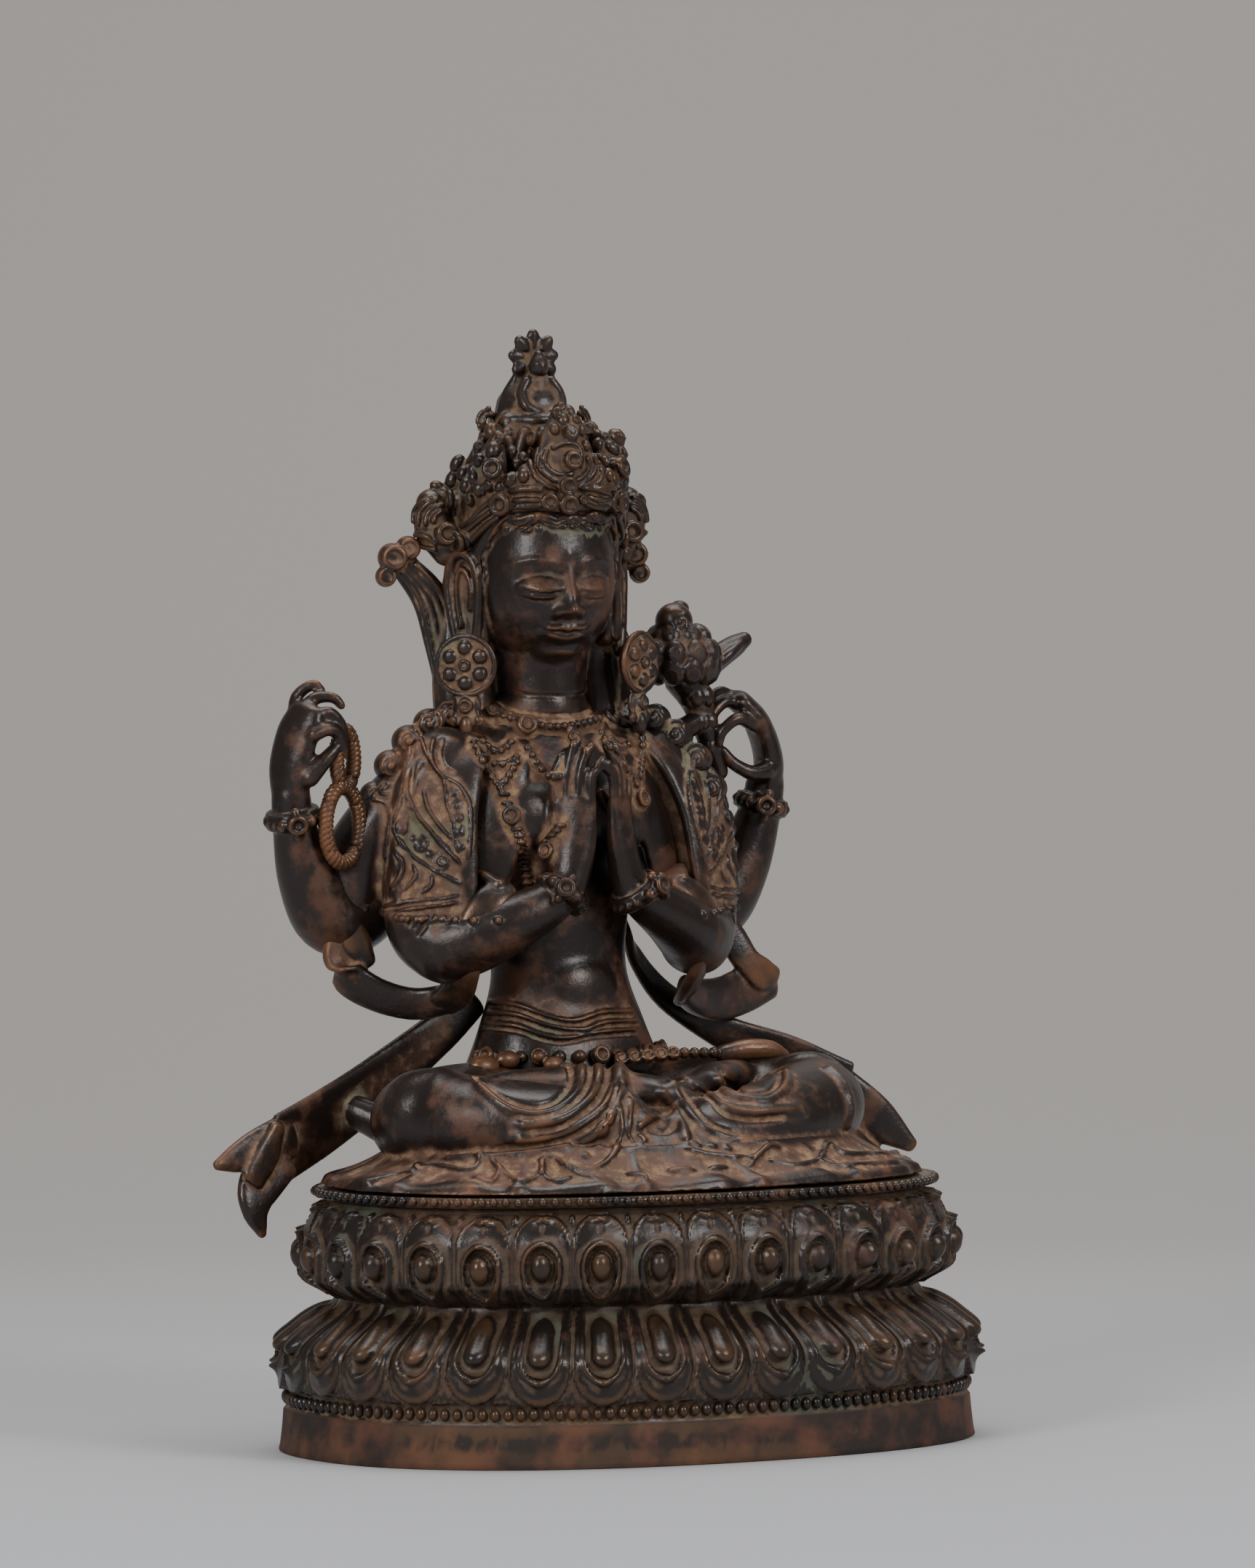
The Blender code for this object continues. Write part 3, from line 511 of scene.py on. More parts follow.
copperTones = {
    "darkBrown": "#261d19",
    "redBrown": "#573929",
    "ground": "#57392b",
    "wornCopper": "#a8754e",
    "earth": "#644a39",
    "paleEarth": "#8c7056",
    "verdigris": "#5f6a55",
}
patina = {  # the size of each pattern in mm, its detail and its roughness
    "clouds": (11.0, 4.0, 0.55),  # the cloudy change from near black to red brown
    "specks": (2.6, 6.0, 0.65),  # how unevenly earth and colour lie
    "fineSkin": (0.9, 3.0, 0.55),  # the skin of the casting
    "spots": (19.0, 3.0, 0.55),  # where it is rubbed or green
}


# Cast copper alloy, patinated dark: red brown on the worked dress, rubbed on edges, earth in the hollows.
def agedCopper(name, red, earthAmount, wear, gloss, colours=None):
    tones = {key: linear(value) for key, value in {**copperTones, **(colours or {})}.items()}
    material = bpy.data.materials.new(name)
    material.use_nodes = True
    tree = material.node_tree
    shader = tree.nodes["Principled BSDF"]
    place = addNode(tree, "ShaderNodeTexCoord").outputs["Object"]
    made = {}
    for field in ("hollow", "deep", "worked"):
        made[field] = addNode(tree, "ShaderNodeAttribute", {"attribute_name": field}).outputs["Fac"]
    for field, (size, detail, rough) in patina.items():
        settings = {"Scale": 1000.0 / size, "Detail": detail, "Roughness": rough}
        made[field] = addNode(tree, "ShaderNodeTexNoise", settings, {"Vector": place}).outputs["Fac"]

    # Each step makes one value from the ones before it. A word in a step is such a value by its name.
    steps = (
        ("unrest", "SUBTRACT", "specks", 0.5),
        ("rough", "MULTIPLY_ADD", "unrest", 0.45, "hollow"),
        ("rough", "MULTIPLY_ADD", "worked", 0.085, "rough"),
        ("wide", "MULTIPLY_ADD", "unrest", 0.36, "deep"),
        ("wide", "MULTIPLY_ADD", "worked", 0.05, "wide"),
        # earth lies in the fine hollows, and thinly over the broad ones
        ("earthFine", "RANGE", "rough", 0.60 - 0.05 * earthAmount, 0.92 - 0.10 * earthAmount),
        ("earthFine", "MULTIPLY", "earthFine", 0.5 + 0.5 * earthAmount),
        ("earthWide", "RANGE", "wide", 0.58, 0.90),
        ("share", "MULTIPLY_ADD", "worked", 0.4, 0.25 + 0.4 * earthAmount),
        ("earthWide", "MULTIPLY", "earthWide", "share"),
        ("earthAll", "MAXIMUM", "earthFine", "earthWide"),
        ("share", "MULTIPLY_ADD", "worked", 0.65, 0.35),
        ("earth", "MULTIPLY", "earthAll", "share"),
        ("share", "MULTIPLY_ADD", "spots", 0.8, 0.6),
        ("earth", "MULTIPLY", "earth", "share"),
        # copper shows where an edge is rubbed, and only some places are
        ("worn", "MULTIPLY_ADD", "unrest", 0.34, "hollow"),
        ("worn", "RANGE", "worn", 0.30, 0.02),
        ("rubbed", "RANGE", "spots", 0.62, 0.36),
        ("rubbed", "MULTIPLY", "rubbed", wear),
        ("worn", "MULTIPLY", "worn", "rubbed"),
        ("reddish", "MULTIPLY_ADD", "unrest", 0.35, "clouds"),
        ("reddish", "RANGE", "reddish", 0.62 - 0.25 * red, 0.80 - 0.22 * red),
        ("green", "RANGE", "spots", 0.56, 0.68),
        ("share", "RANGE", "rough", 0.58, 0.74),
        ("green", "MULTIPLY", "green", "share"),
        # the plinth was never polished, and what stands out on the dress stays dark
        ("matt", "RANGE", "worked", 1.4, 1.9),
        ("raised", "MINIMUM", "hollow", "deep"),
        ("raised", "RANGE", "raised", 0.40, 0.54),
        ("raised", "MAXIMUM", "raised", "matt"),
        ("dress", "MULTIPLY", "worked", "raised"),
        ("colour", "MIX", "reddish", tones["darkBrown"], tones["redBrown"]),
        ("share", "MULTIPLY_ADD", "specks", 0.8, 0.45),
        ("share", "MULTIPLY", "dress", "share"),
        ("colour", "MIX", "share", "colour", tones["ground"]),
        ("plain", "RANGE", "clouds", 0.40, 0.62),
        ("plain", "MIX", "plain", tones["darkBrown"], tones["ground"]),
        ("share", "MULTIPLY", "matt", 0.92),
        ("colour", "MIX", "share", "colour", "plain"),
        ("colour", "MIX", "worn", "colour", tones["wornCopper"]),
        ("soil", "RANGE", "specks", 0.44, 0.62),
        ("soil", "MIX", "soil", tones["earth"], tones["paleEarth"]),
        ("colour", "MIX", "earth", "colour", "soil"),
        ("share", "MULTIPLY", "green", 0.6),
        ("colour", "MIX", "share", "colour", tones["verdigris"]),
        # earth and green are dull and no metal
        ("dull", "MAXIMUM", "earth", "green"),
        ("bare", "MULTIPLY_ADD", "worn", 0.6, 0.26),
        ("bare", "MULTIPLY_ADD", "worked", -0.14, "bare"),
        ("share", "SUBTRACT", 1.0, "dull"),
        ("metal", "MULTIPLY", "share", "bare"),
        ("sheen", "MULTIPLY_ADD", "clouds", 0.22, gloss - 0.11),
        ("share", "MAXIMUM", "reddish", "dress"),
        ("sheen", "MULTIPLY_ADD", "share", 0.20, "sheen"),
        ("sheen", "MULTIPLY_ADD", "matt", 0.14, "sheen"),
        ("roughness", "MULTIPLY_ADD", "dull", 0.42, "sheen"),
        ("shape", "MULTIPLY", "fineSkin", 0.5),
        ("shape", "MULTIPLY_ADD", "specks", 0.9, "shape"),
    )
    clamped = ("earth", "metal", "roughness")
    otherKinds = {  # the kind of node, its settings, its sockets in order and its output
        "RANGE": ("ShaderNodeMapRange", {"interpolation_type": "SMOOTHSTEP"}, (0, 1, 2), 0),
        "MIX": ("ShaderNodeMix", {"data_type": "RGBA"}, (0, 6, 7), 2),
    }
    for field, work, *values in steps:
        sums = ("ShaderNodeMath", {"operation": work, "use_clamp": field in clamped}, (0, 1, 2), 0)
        kind, settings, sockets, output = otherKinds.get(work, sums)
        given = dict(zip(sockets, values))
        settings = {**settings, **{socket: v for socket, v in given.items() if not isinstance(v, str)}}
        links = {socket: made[v] for socket, v in given.items() if isinstance(v, str)}
        made[field] = addNode(tree, kind, settings, links).outputs[output]

    bump = addNode(tree, "ShaderNodeBump", {"Strength": 0.5, "Distance": 0.00022},
        {"Height": made["shape"]})
    ends = {"Base Color": made["colour"], "Metallic": made["metal"], "Roughness": made["roughness"]}
    for socket, value in {**ends, "Normal": bump.outputs["Normal"]}.items():
        tree.links.new(value, shader.inputs[socket])
    return material


bodyTones = {"earth": "#5c4534", "paleEarth": "#7c6750", "verdigris": "#4c5443"}
polishedCopper = agedCopper("patinated copper, polished", 0.40, 0.25, 0.45, 0.29, bodyTones)
ornateCopper = agedCopper("patinated copper, earth in the relief", 0.5, 1.0, 0.35, 0.32)
crownTones = {
    "redBrown": "#3f2c24", "ground": "#4a3226", "wornCopper": "#94683f",
    "earth": "#5c4431", "paleEarth": "#80664a",
}
crownCopper = agedCopper("patinated copper, crown", 0.2, 0.9, 0.22, 0.30, crownTones)
baseTones = {
    "darkBrown": "#231d19", "redBrown": "#4a3129", "ground": "#57372a", "wornCopper": "#9a7048",
    "earth": "#54432f", "paleEarth": "#6d5a42", "verdigris": "#48564a",
}
baseCopper = agedCopper("patinated copper, lotus base", 0.35, 0.8, 0.20, 0.30, baseTones)
print("materials ready")


# Lotus base

base = {
    "width": 143.0,
    "depth": 106.0,
    "height": 52.5,
    "foot": 9.2,
    "waist": 31.5,
    "waistInset": 11.4,
    "lowerSwell": 0.9,
    "upperInset": 4.0,
    "rimInset": 6.8,
    "neckInset": 8.8,
    "rim": 2.2,
    "ovalPower": 2.3,
    "petals": 32,
    "firstPetal": 0.3,
    "columnsPerPetal": 26,
    "topBeadPitch": 2.4,
    "footBeadPitch": 2.5,
}


def ovalOutline(inset, angles):
    x = (base["width"] / 2 - inset) * roundPower(np.cos(angles), base["ovalPower"])
    y = (base["depth"] / 2 - inset) * roundPower(np.sin(angles), base["ovalPower"])
    return np.stack([x, y], -1)


def evenAngles(columns, inset=0.0):
    fine = np.linspace(0, math.tau, 5761)
    run = np.concatenate([[0], np.cumsum(np.linalg.norm(np.diff(ovalOutline(inset, fine), axis=0),
        axis=1))])
    return np.interp(np.arange(columns) / columns * run[-1], run, fine)


def easeStep(low, high, value):
    t = np.clip((value - low) / (high - low), 0, 1)
    return t * t * (3 - 2 * t)


def lowerPetal(u, v):
    # height in mm over the hanging petal; u from -0.5 to 0.5 across, v from the waist, 0, to the tip, 1
    edge = 0.49 * np.sqrt(np.clip(1 - (np.clip(v - 0.60, 0, 1) / 0.38) ** 2, 0, 1)) - np.abs(u)
    inside = easeStep(-0.012, 0.02, edge)
    blade = 1.05 + 0.32 * np.clip(1 - (u / 0.5) ** 2, 0, 1) + 0.12 * easeStep(0.6, 0.95, v)
    loop = np.hypot(u, np.clip(v - 0.46, 0, 2) * 1.2) - 0.315
    lip = np.exp(-((u / 0.15) ** 2)) * easeStep(0.52, 0.66, v)
    ridge = (0.50 + 0.8 * lip) * np.exp(-((loop / (0.036 + 0.022 * lip)) ** 2)) - 0.50 * easeStep(0.0,
        -0.04, loop)
    ridge = ridge * easeStep(0.02, 0.34, v)
    inner = np.hypot(u, np.where(v > 0.42, (v - 0.42) * 1.3, np.clip(0.26 - v, 0, 1) * 1.3))
    knob = (2.3 + 1.6 * np.clip(0.42 - v, 0, 1)) * np.sqrt(np.clip(1 - (inner / 0.222) ** 2, 0, 1))
    beak = 0.35 * np.exp(-((u / np.clip(0.20 - (v - 0.74) * 1.1, 0.03, 1)) ** 2)) * easeStep(0.71, 0.75,
        v) * easeStep(0.90, 0.78, v)
    fromMiddle = 0.5 - np.abs(u)
    sepalEdge = 0.27 * (v - 0.66) / 0.32 - fromMiddle
    ribs = 0.62 + 0.12 * np.cos(fromMiddle / 0.055 * math.pi)
    sepal = easeStep(-0.02, 0.03, sepalEdge) * ribs * easeStep(1.0, 0.97, v)
    return 1.38 * np.maximum(inside * (blade + ridge + knob + beak), sepal) - 0.3


def upperPetal(u, v):
    # the rising petal: an arched blade with a hooded ball; v from the waist, 0, to the tip, 1
    edge = 0.492 * np.sqrt(np.clip(1 - (np.clip(v - 0.66, 0, 1) / 0.325) ** 2, 0, 1)) - np.abs(u)
    inside = easeStep(-0.012, 0.02, edge)
    blade = 0.9 + 0.45 * np.clip(1 - (u / 0.5) ** 2, 0, 1) + 0.25 * np.exp(-((edge - 0.03) / 0.018) ** 2)
    tip = 1.0 * np.exp(-((u / 0.14) ** 2) - ((v - 0.925) / 0.04) ** 2)
    tip -= 0.35 * np.exp(-((u / 0.022) ** 2)) * easeStep(0.76, 0.82, v) * easeStep(0.93, 0.90, v)
    hoodReach = np.hypot(u / 0.345, (v - 0.43) / np.where(v > 0.43, 0.275, 0.46))
    hood = 1.05 * easeStep(1.05, 0.92,
        hoodReach) + 0.5 * np.exp(-((u / 0.16) ** 2) - ((v - 0.685) / 0.03) ** 2)
    pitReach = np.hypot(u / 0.262, (v - 0.43) / np.where(v > 0.43, 0.215, 0.34))
    pit = -1.45 * easeStep(1.05, 0.90, pitReach)
    ballReach = np.hypot(u / 0.205, (v - 0.445) / np.where(v > 0.445, 0.155, 0.185))
    knob = 2.5 * np.sqrt(np.clip(1 - ballReach**2, 0, 1))
    between = 0.5 - np.abs(u)
    behindEdge = 0.13 * (1.02 - v) / 0.2 - between
    behind = easeStep(-0.01, 0.03, behindEdge) * easeStep(0.62, 0.74, v) * easeStep(1.0, 0.965, v)
    behind = behind * (0.55 + 0.65 * np.exp(-((v - 0.945) / 0.03) ** 2))
    return 1.32 * np.maximum(inside * (blade + tip + hood + pit + knob), behind) - 0.2


def baseRows():
    # the base's outline from foot to rim: height, inset, which petals, place along the petal
    b = base
    rows = [(0.0, 0.3, 0, 0), (0.25, 0.0, 0, 0)]
    rows += [(b["foot"] * t, 0.1 + 0.9 * t, 0, 0) for t in (0.15, 0.3, 0.45, 0.6, 0.75, 0.88)]
    rows += [(b["foot"] - 0.1, 1.6, 0, 0), (b["foot"] + 0.7, 1.8, 0, 0), (b["foot"] + 2.2, 1.9, 0, 0)]
    start, steps = b["foot"] + 2.9, 46
    for t in np.linspace(0, 1, steps + 1):
        height = start + (b["waist"] - 0.6 - start) * t
        swell = math.sin(math.pi * min(1.0, t * 1.25 + 0.18)) if t < 0.66 else 0.0
        inset = 2.1 - b["lowerSwell"] * swell + (b["waistInset"] - 1.2) * float(easeStep(0.38, 1.0,
            t)) ** 1.35
        rows.append((height, inset, 1, 1 - t))
    rows.append((b["waist"] - 0.4, b["waistInset"] + 1.8, 0, 0))
    start, end, steps = b["waist"] - 0.5, b["height"] - b["rim"] - 0.9, 50
    for t in np.linspace(0, 1, steps + 1):
        height = start + (end - start) * t
        under = 1 - float(easeStep(-0.04, 0.26, t))
        lean = max(0.0, t - 0.62) / 0.38
        inset = b["upperInset"] + 2.2 + 3.6 * lean**1.7
        inset += (b["waistInset"] - b["upperInset"] - 1.2) * under**1.4
        rows.append((height, inset, 2, t))
    rows += [(end + 0.3, b["neckInset"] + 0.6, 0, 0), (b["height"] - b["rim"] - 0.2, b["neckInset"] + 0.5,
        0, 0)]
    rows += [(b["height"] - b["rim"] + 0.1, b["rimInset"] + 1.0, 0, 0),
        (b["height"] - 0.3, b["rimInset"] + 0.9, 0, 0)]
    rows += [(b["height"] - 0.35, b["rimInset"] + 2.4, 0, 0), (b["height"] - 0.4, b["rimInset"] + 9, 0, 0)]
    rows += [(b["height"] - 0.4, 30.0, 0, 0)]
    return rows


def wobble(x, y, z, size, seed):  # slow unevenness of handwork, from a few waves
    rng = np.random.default_rng(seed)
    total = np.zeros_like(x)
    for _ in range(6):
        way = rng.normal(size=3)
        way /= np.linalg.norm(way)
        total += np.sin((x * way[0] + y * way[1] + z * way[2]) / size * math.tau * rng.uniform(0.6,
            1.5) + rng.uniform(0, 6.3))
    return total / 6


def plinthWorked(places):  # the petals are a little worked, the plinth is matt
    return 0.3 + 1.7 * easeStep(-42.5, -44.5, places[:, 2])


def makeLotusBase():
    columns = base["petals"] * base["columnsPerPetal"]
    angles = evenAngles(columns)
    rng = np.random.default_rng(7)
    petalAt = np.arange(columns) / columns * base["petals"] - base["firstPetal"] + 0.5
    across = petalAt % 1.0 - 0.5
    which = np.floor(petalAt).astype(int) % base["petals"]
    shift = rng.uniform(-0.03, 0.03, base["petals"])[which]
    strength = 1 + rng.uniform(-0.12, 0.12, base["petals"])[which]
    rings = []
    for height, inset, kind, along in baseRows():
        rise = np.zeros(columns)
        if kind == 1:
            rise = lowerPetal(across, np.full(columns, along) + shift * 0.6)
        elif kind == 2:
            rise = upperPetal(across, np.full(columns, along) + shift * 0.5)
        outline = ovalOutline(inset - rise * strength, angles)
        uneven = 0.28 * wobble(outline[:, 0], outline[:, 1], np.full(columns, height), 40.0, 3)
        uneven += (0.10 if height < base["foot"] else 0.04) * wobble(outline[:, 0], outline[:, 1],
            np.full(columns, height), 7.0, 5)
        outline = ovalOutline(inset - rise * strength - uneven, angles)
        rings.append(np.column_stack([outline, np.full(columns, height - seatHeight)]))
    skin = newSkin()
    loft(skin, np.array(rings), [(0, 0, -seatHeight), (0, 0, base["height"] - 0.4 - seatHeight)])
    finish(meshFrom("lotusPetals", skin), baseCopper, 140000, "lotus_base",
        worked=plinthWorked)


def makeRimBeads():
    rng = np.random.default_rng(11)
    rows = (
        ("rimBeads", base["height"] - 1.05, base["rimInset"] + 0.75, base["topBeadPitch"], (0.92, 0.92),
        1.0),
        ("footBeads", base["foot"] + 1.45, 1.55, base["footBeadPitch"], (1.02, 1.28), 1.05),
    )
    for name, height, inset, pitch, (half, tall), out in rows:
        outline = ovalOutline(inset, np.linspace(0, math.tau, 2000))
        around = np.linalg.norm(np.diff(outline, axis=0), axis=1).sum()
        angles = evenAngles(int(around / pitch), inset)
        ahead = ovalOutline(inset, angles + 0.01) - ovalOutline(inset, angles - 0.01)
        skin = newSkin()
        for spot, way in zip(ovalOutline(inset, angles), ahead):
            facing = (way[1], -way[0], 0)
            size = 1 + rng.uniform(-0.06, 0.06)
            centre = (spot[0], spot[1], height - seatHeight + rng.uniform(-0.08, 0.08))
            bead(skin, centre, size, facing, out, (half, tall))
        finish(meshFrom(name, skin), baseCopper, worked=0.25)


# Legs and skirt

skirt = {
    "voxel": 0.42,
    "softVoxel": 0.7,
    "softRounds": 9,
    "hemHalfWidth": 62.0,
    "hemHalfDepth": 42.5,
    "pleatPitch": 13.0,
}
# Read in the close-up of the legs. A crest stands out and a furrow is sunk.
leftLegCrests = {
    "lensFold": [(440, 290), (520, 360), (600, 392), (690, 385), (755, 340), (785, 280), (770, 210),
        (735, 190)],
    "secondFold": [(570, 425), (650, 425), (740, 400), (805, 345), (835, 280), (830, 220), (810, 185)],
    "thirdFold": [(560, 475), (660, 470), (760, 440), (840, 380), (885, 310), (890, 240), (870, 185)],
    "cuff": [(330, 545), (500, 535), (640, 520), (740, 500), (830, 450), (890, 360), (915, 280),
        (905, 200)],
}
leftLegFurrows = {
    "lens": [(425, 262), (480, 310), (540, 350), (620, 370), (690, 350), (735, 300), (745, 250),
        (720, 205)],
    "second": [(560, 400), (640, 405), (720, 380), (780, 330), (805, 270), (800, 215), (780, 185)],
    "third": [(620, 450), (700, 440), (770, 400), (830, 350), (860, 290), (862, 230), (845, 185)],
    "fourth": [(500, 510), (640, 492), (750, 462), (850, 400), (900, 300)],
}
rightLegCrests = {
    "lensFold": [(1225, 262), (1250, 320), (1330, 345), (1400, 345), (1450, 300), (1450, 255)],
    "longFold": [(1110, 275), (1180, 320), (1240, 365), (1340, 385), (1440, 380), (1510, 375)],
    "cuff": [(1075, 285), (1110, 340), (1160, 410), (1210, 450), (1290, 480), (1400, 490)],
    "edge": [(1045, 300), (1085, 370), (1110, 430), (1125, 490)],
    "corner": [(955, 440), (1000, 405), (1050, 420), (1105, 400)],
    "knee": [(1590, 240), (1640, 290), (1665, 370), (1650, 440)],
}
rightLegFurrows = {
    "lens": [(1240, 240), (1260, 290), (1320, 318), (1400, 315), (1432, 280), (1430, 245)],
    "long": [(1130, 300), (1200, 345), (1260, 392), (1350, 408), (1450, 400)],
    "cuff": [(1100, 300), (1150, 370), (1200, 425), (1280, 460)],
    "under": [(1000, 440), (1050, 450), (1090, 430)],
}
hemCrests = {
    "leftEnd": [(60, 620), (150, 600), (220, 585), (240, 560), (300, 565), (400, 578), (440, 560),
        (450, 530)],
    "leftTurn": [(430, 600), (480, 620), (505, 585), (480, 545)],
    "leftWave": [(500, 560), (540, 600), (600, 615), (650, 590), (660, 545), (700, 545), (760, 590),
        (830, 605)],
    "middleTurn": [(640, 540), (650, 595), (700, 618), (750, 600)],
    "scrollEdge": [(700, 555), (780, 580), (850, 560), (892, 510), (908, 440), (905, 370)],
    "rightRun": [(1120, 505), (1200, 525), (1300, 535), (1345, 538), (1390, 505)],
    "rightTurn": [(1330, 568), (1385, 512), (1430, 500)],
    "rightWave": [(1390, 545), (1480, 560), (1560, 545), (1590, 490), (1640, 520), (1740, 525),
        (1840, 520)],
    "farTurn": [(1560, 548), (1600, 560), (1700, 560), (1840, 550)],
    "pleatOne": [(940, 340), (935, 400), (930, 460), (950, 480)],
    "pleatTwo": [(960, 460), (985, 480), (975, 495), (940, 490)],
}
legScrolls = [(870, 400, 28), (850, 448, 25), (838, 500, 23), (795, 527, 20), (1165, 498, 19),
    (1215, 500, 16), (1265, 506, 15)]
waistWaves = {
    "first": [(450, 20), (560, 30), (680, 72), (760, 82), (850, 55), (950, 52)],
    "second": [(440, 58), (560, 62), (670, 98), (780, 112), (860, 88), (965, 82)],
    "third": [(450, 92), (560, 100), (650, 130), (720, 140), (830, 120), (960, 110)],
}


def skirtForms(skin):
    thigh = [(10, 24, 12, 12, 11), (28, 15, 12.5, 12.5, 10.5), (43.5, 4, 12.5, 11.5, 10.2)]
    bothSides(lambda p: sweep(skin, p, side=(0.4, 0.9, 0), sides=28), thigh)
    leftShin = [(-43.5, 4, 12.5, 11.5, 10.2), (-37, -8, 12, 11.6, 9.8), (-26, -15, 11, 11, 9.2),
        (-13, -17, 10.5, 10, 8.6)]
    rightShin = [(43.5, 4, 12.5, 11.5, 10.2), (37, -8, 12, 11.6, 9.6), (22, -17, 10.5, 10.5, 8.6),
        (5, -20, 9.0, 9, 7.0)]
    sweep(skin, leftShin, side=(0.4, -0.9, 0), sides=28)
    sweep(skin, rightShin, side=(0.4, 0.9, 0), sides=28)
    ball(skin, (0, -2, 6), (40, 30, 9))
    ball(skin, (0, 22, 10), (30, 20, 13))
    foot = [(-26, 4, 18.5, 4.6, 3.4), (-15, -5, 19.2, 5.6, 3.4), (-3, -11, 18.0, 4.8, 3.2),
        (5, -15, 16.5, 3.6, 2.6)]
    sweep(skin, foot, side=(0.3, 0.9, 0.2), sides=18)
    otherFoot = [(28, 5, 19.0, 4.6, 3.2), (17, -4, 19.0, 5.2, 3.2), (8, -10, 17.5, 4.2, 2.8)]
    sweep(skin, otherFoot, side=(0.3, -0.9, 0.2), sides=18)


def hemForms(skin):
    # the cloth that spreads from under the legs to the edge of the seat, in turned pleats
    halfWidth, halfDepth = skirt["hemHalfWidth"], skirt["hemHalfDepth"]
    angles = np.linspace(0, math.tau, 721)[:-1]
    outline = ovalOutline(0, angles) * np.array([halfWidth / (base["width"] / 2),
        halfDepth / (base["depth"] / 2)])
    run = np.concatenate([[0], np.cumsum(np.linalg.norm(np.diff(outline, axis=0), axis=1))])
    phase = run / skirt["pleatPitch"] * math.tau
    rings = []
    for v in np.linspace(0, 1, 17):
        shrink = 1 - 0.24 * v
        height = -0.1 + 1.7 * (1 - math.exp(-v * 14)) + 6.6 * v**2.0
        wave = np.sin(phase + 1.4 * np.sin(phase * 0.5) + v * 2.2)
        crest = (0.55 + 0.45 * wave) ** 2
        lift = 0.8 * crest * (1 - v) ** 0.7 if v > 0 else 0 * crest
        place = outline * (shrink + 0.016 * crest[:, None] * (1 - v))
        rings.append(np.column_stack([place[:, 0], place[:, 1] + 1.0, height + lift]))
    loft(skin, np.array(rings), [(0, 1, -0.1), (0, 1, 8.3)])


hemFolds = [(958, 596), (1108, 578), (1232, 573)]  # small folds that lie on the hem, in the same close-up


def readLines(tree, view, lines, width, height):
    return [(seen(tree, view, line)[0], width, height) for line in lines.values()]


def makeSkirt():
    forms = newSkin()
    skirtForms(forms)
    soft = softened("skirtForms", forms, skirt["softVoxel"], skirt["softRounds"])
    hemForms(soft)
    tree = treeOf(soft)
    for u, v, size in legScrolls:
        spots, normals = seen(tree, legsView, [(u, v)], smooth=False)
        if len(spots):
            spiral(soft, spots[0], normals[0], size * ownScale(legsView), 1.3, start=90, thickness=0.26)
    for u, v in hemFolds:
        spots, normals = seen(tree, legsView, [(u, v)], smooth=False)
        if len(spots):
            bead(soft, spots[0], 1.2, normals[0], 0.8, (2.6, 1.0))
    piece = meshFrom("skirt", soft)
    fuse(piece, skirt["voxel"], 1)
    tree = treeOfPiece(piece)
    lines = readLines(tree, legsView, leftLegCrests, 1.35, 1.15)
    lines += readLines(tree, legsView, leftLegFurrows, 0.75, -0.85)
    lines += readLines(tree, legsView, rightLegCrests, 1.35, 1.15)
    lines += readLines(tree, legsView, rightLegFurrows, 0.75, -0.85)
    lines += readLines(tree, legsView, hemCrests, 0.8, 0.85)
    relief(piece, lines)
    nearFolds = nearness(np.vstack([line for line, _, _ in lines if len(line)]), 4.0)

    def dressed(places):  # the hem is worked all over, the legs only along their folds
        return np.maximum(easeStep(9.5, 6.5, places[:, 2]) * 0.95, nearFolds(places) * 0.7)

    finish(piece, ornateCopper, 105000, "bodhisattva_figure", worked=dressed)


# Trunk, front arms and shawl

trunk = {
    "voxel": 0.33,
    "softVoxel": 0.6,
    "softRounds": 6,
    "braceletRadius": 4.9,
    "armletBeads": 34,
    "pearlRadius": 0.84,
    "pearlPitch": 1.66,
}
# Read in the close-up of the chest.
shawlCrests = {
    "shoulderSeam": [(300, 325), (285, 430), (265, 560), (240, 650), (212, 725)],
    "leafLeft": [(330, 350), (300, 450), (275, 600), (330, 700), (420, 820), (500, 900)],
    "leafRight": [(335, 350), (370, 450), (435, 545), (450, 640), (480, 740), (500, 870)],
    "bandTop": [(392, 350), (380, 430), (415, 510), (500, 560), (545, 640), (550, 760), (540, 880)],
    "lowBandTop": [(270, 640), (320, 700), (390, 770), (450, 830), (505, 900)],
    "lowBandFoot": [(208, 745), (260, 830), (340, 900), (430, 950), (505, 990)],
    "leafFoldOne": [(345, 580), (365, 660), (420, 740), (475, 800)],
    "fanOne": [(215, 845), (250, 900), (240, 960), (200, 1010)],
    "fanTwo": [(300, 905), (310, 960), (260, 1020)],
    "fanThree": [(380, 945), (380, 990), (340, 1030)],
    "hem": [(165, 1095), (230, 1075), (330, 1065), (420, 1058), (490, 1045)],
    "hemLow": [(170, 1125), (240, 1110), (340, 1095), (420, 1085), (490, 1072)],
    "backSeam": [(120, 620), (180, 640), (200, 700), (190, 800), (180, 900)],
}
shawlFurrows = {
    "leafGroove": [(430, 350), (415, 420), (440, 480), (480, 500)],
    "seam": [(318, 330), (300, 460), (285, 600)],
    "sleeve": [(380, 1130), (350, 1180), (320, 1220)],
    "sleeveTwo": [(300, 1135), (285, 1180)],
}
shawlScrolls = [
    (478, 590, 28, 1), (482, 645, 30, -1), (498, 700, 28, 1), (505, 760, 26, -1), (515, 830, 20, 1),
    (250, 745, 32, 1), (330, 822, 38, -1), (425, 900, 48, 1), (180, 570, 48, -1), (300, 790, 20, 1), (375,
    860, 20, 1),
]
collarBosses = [(800, 297, 50), (650, 240, 36), (1160, 272, 50), (1000, 350, 34), (732, 258, 26)]
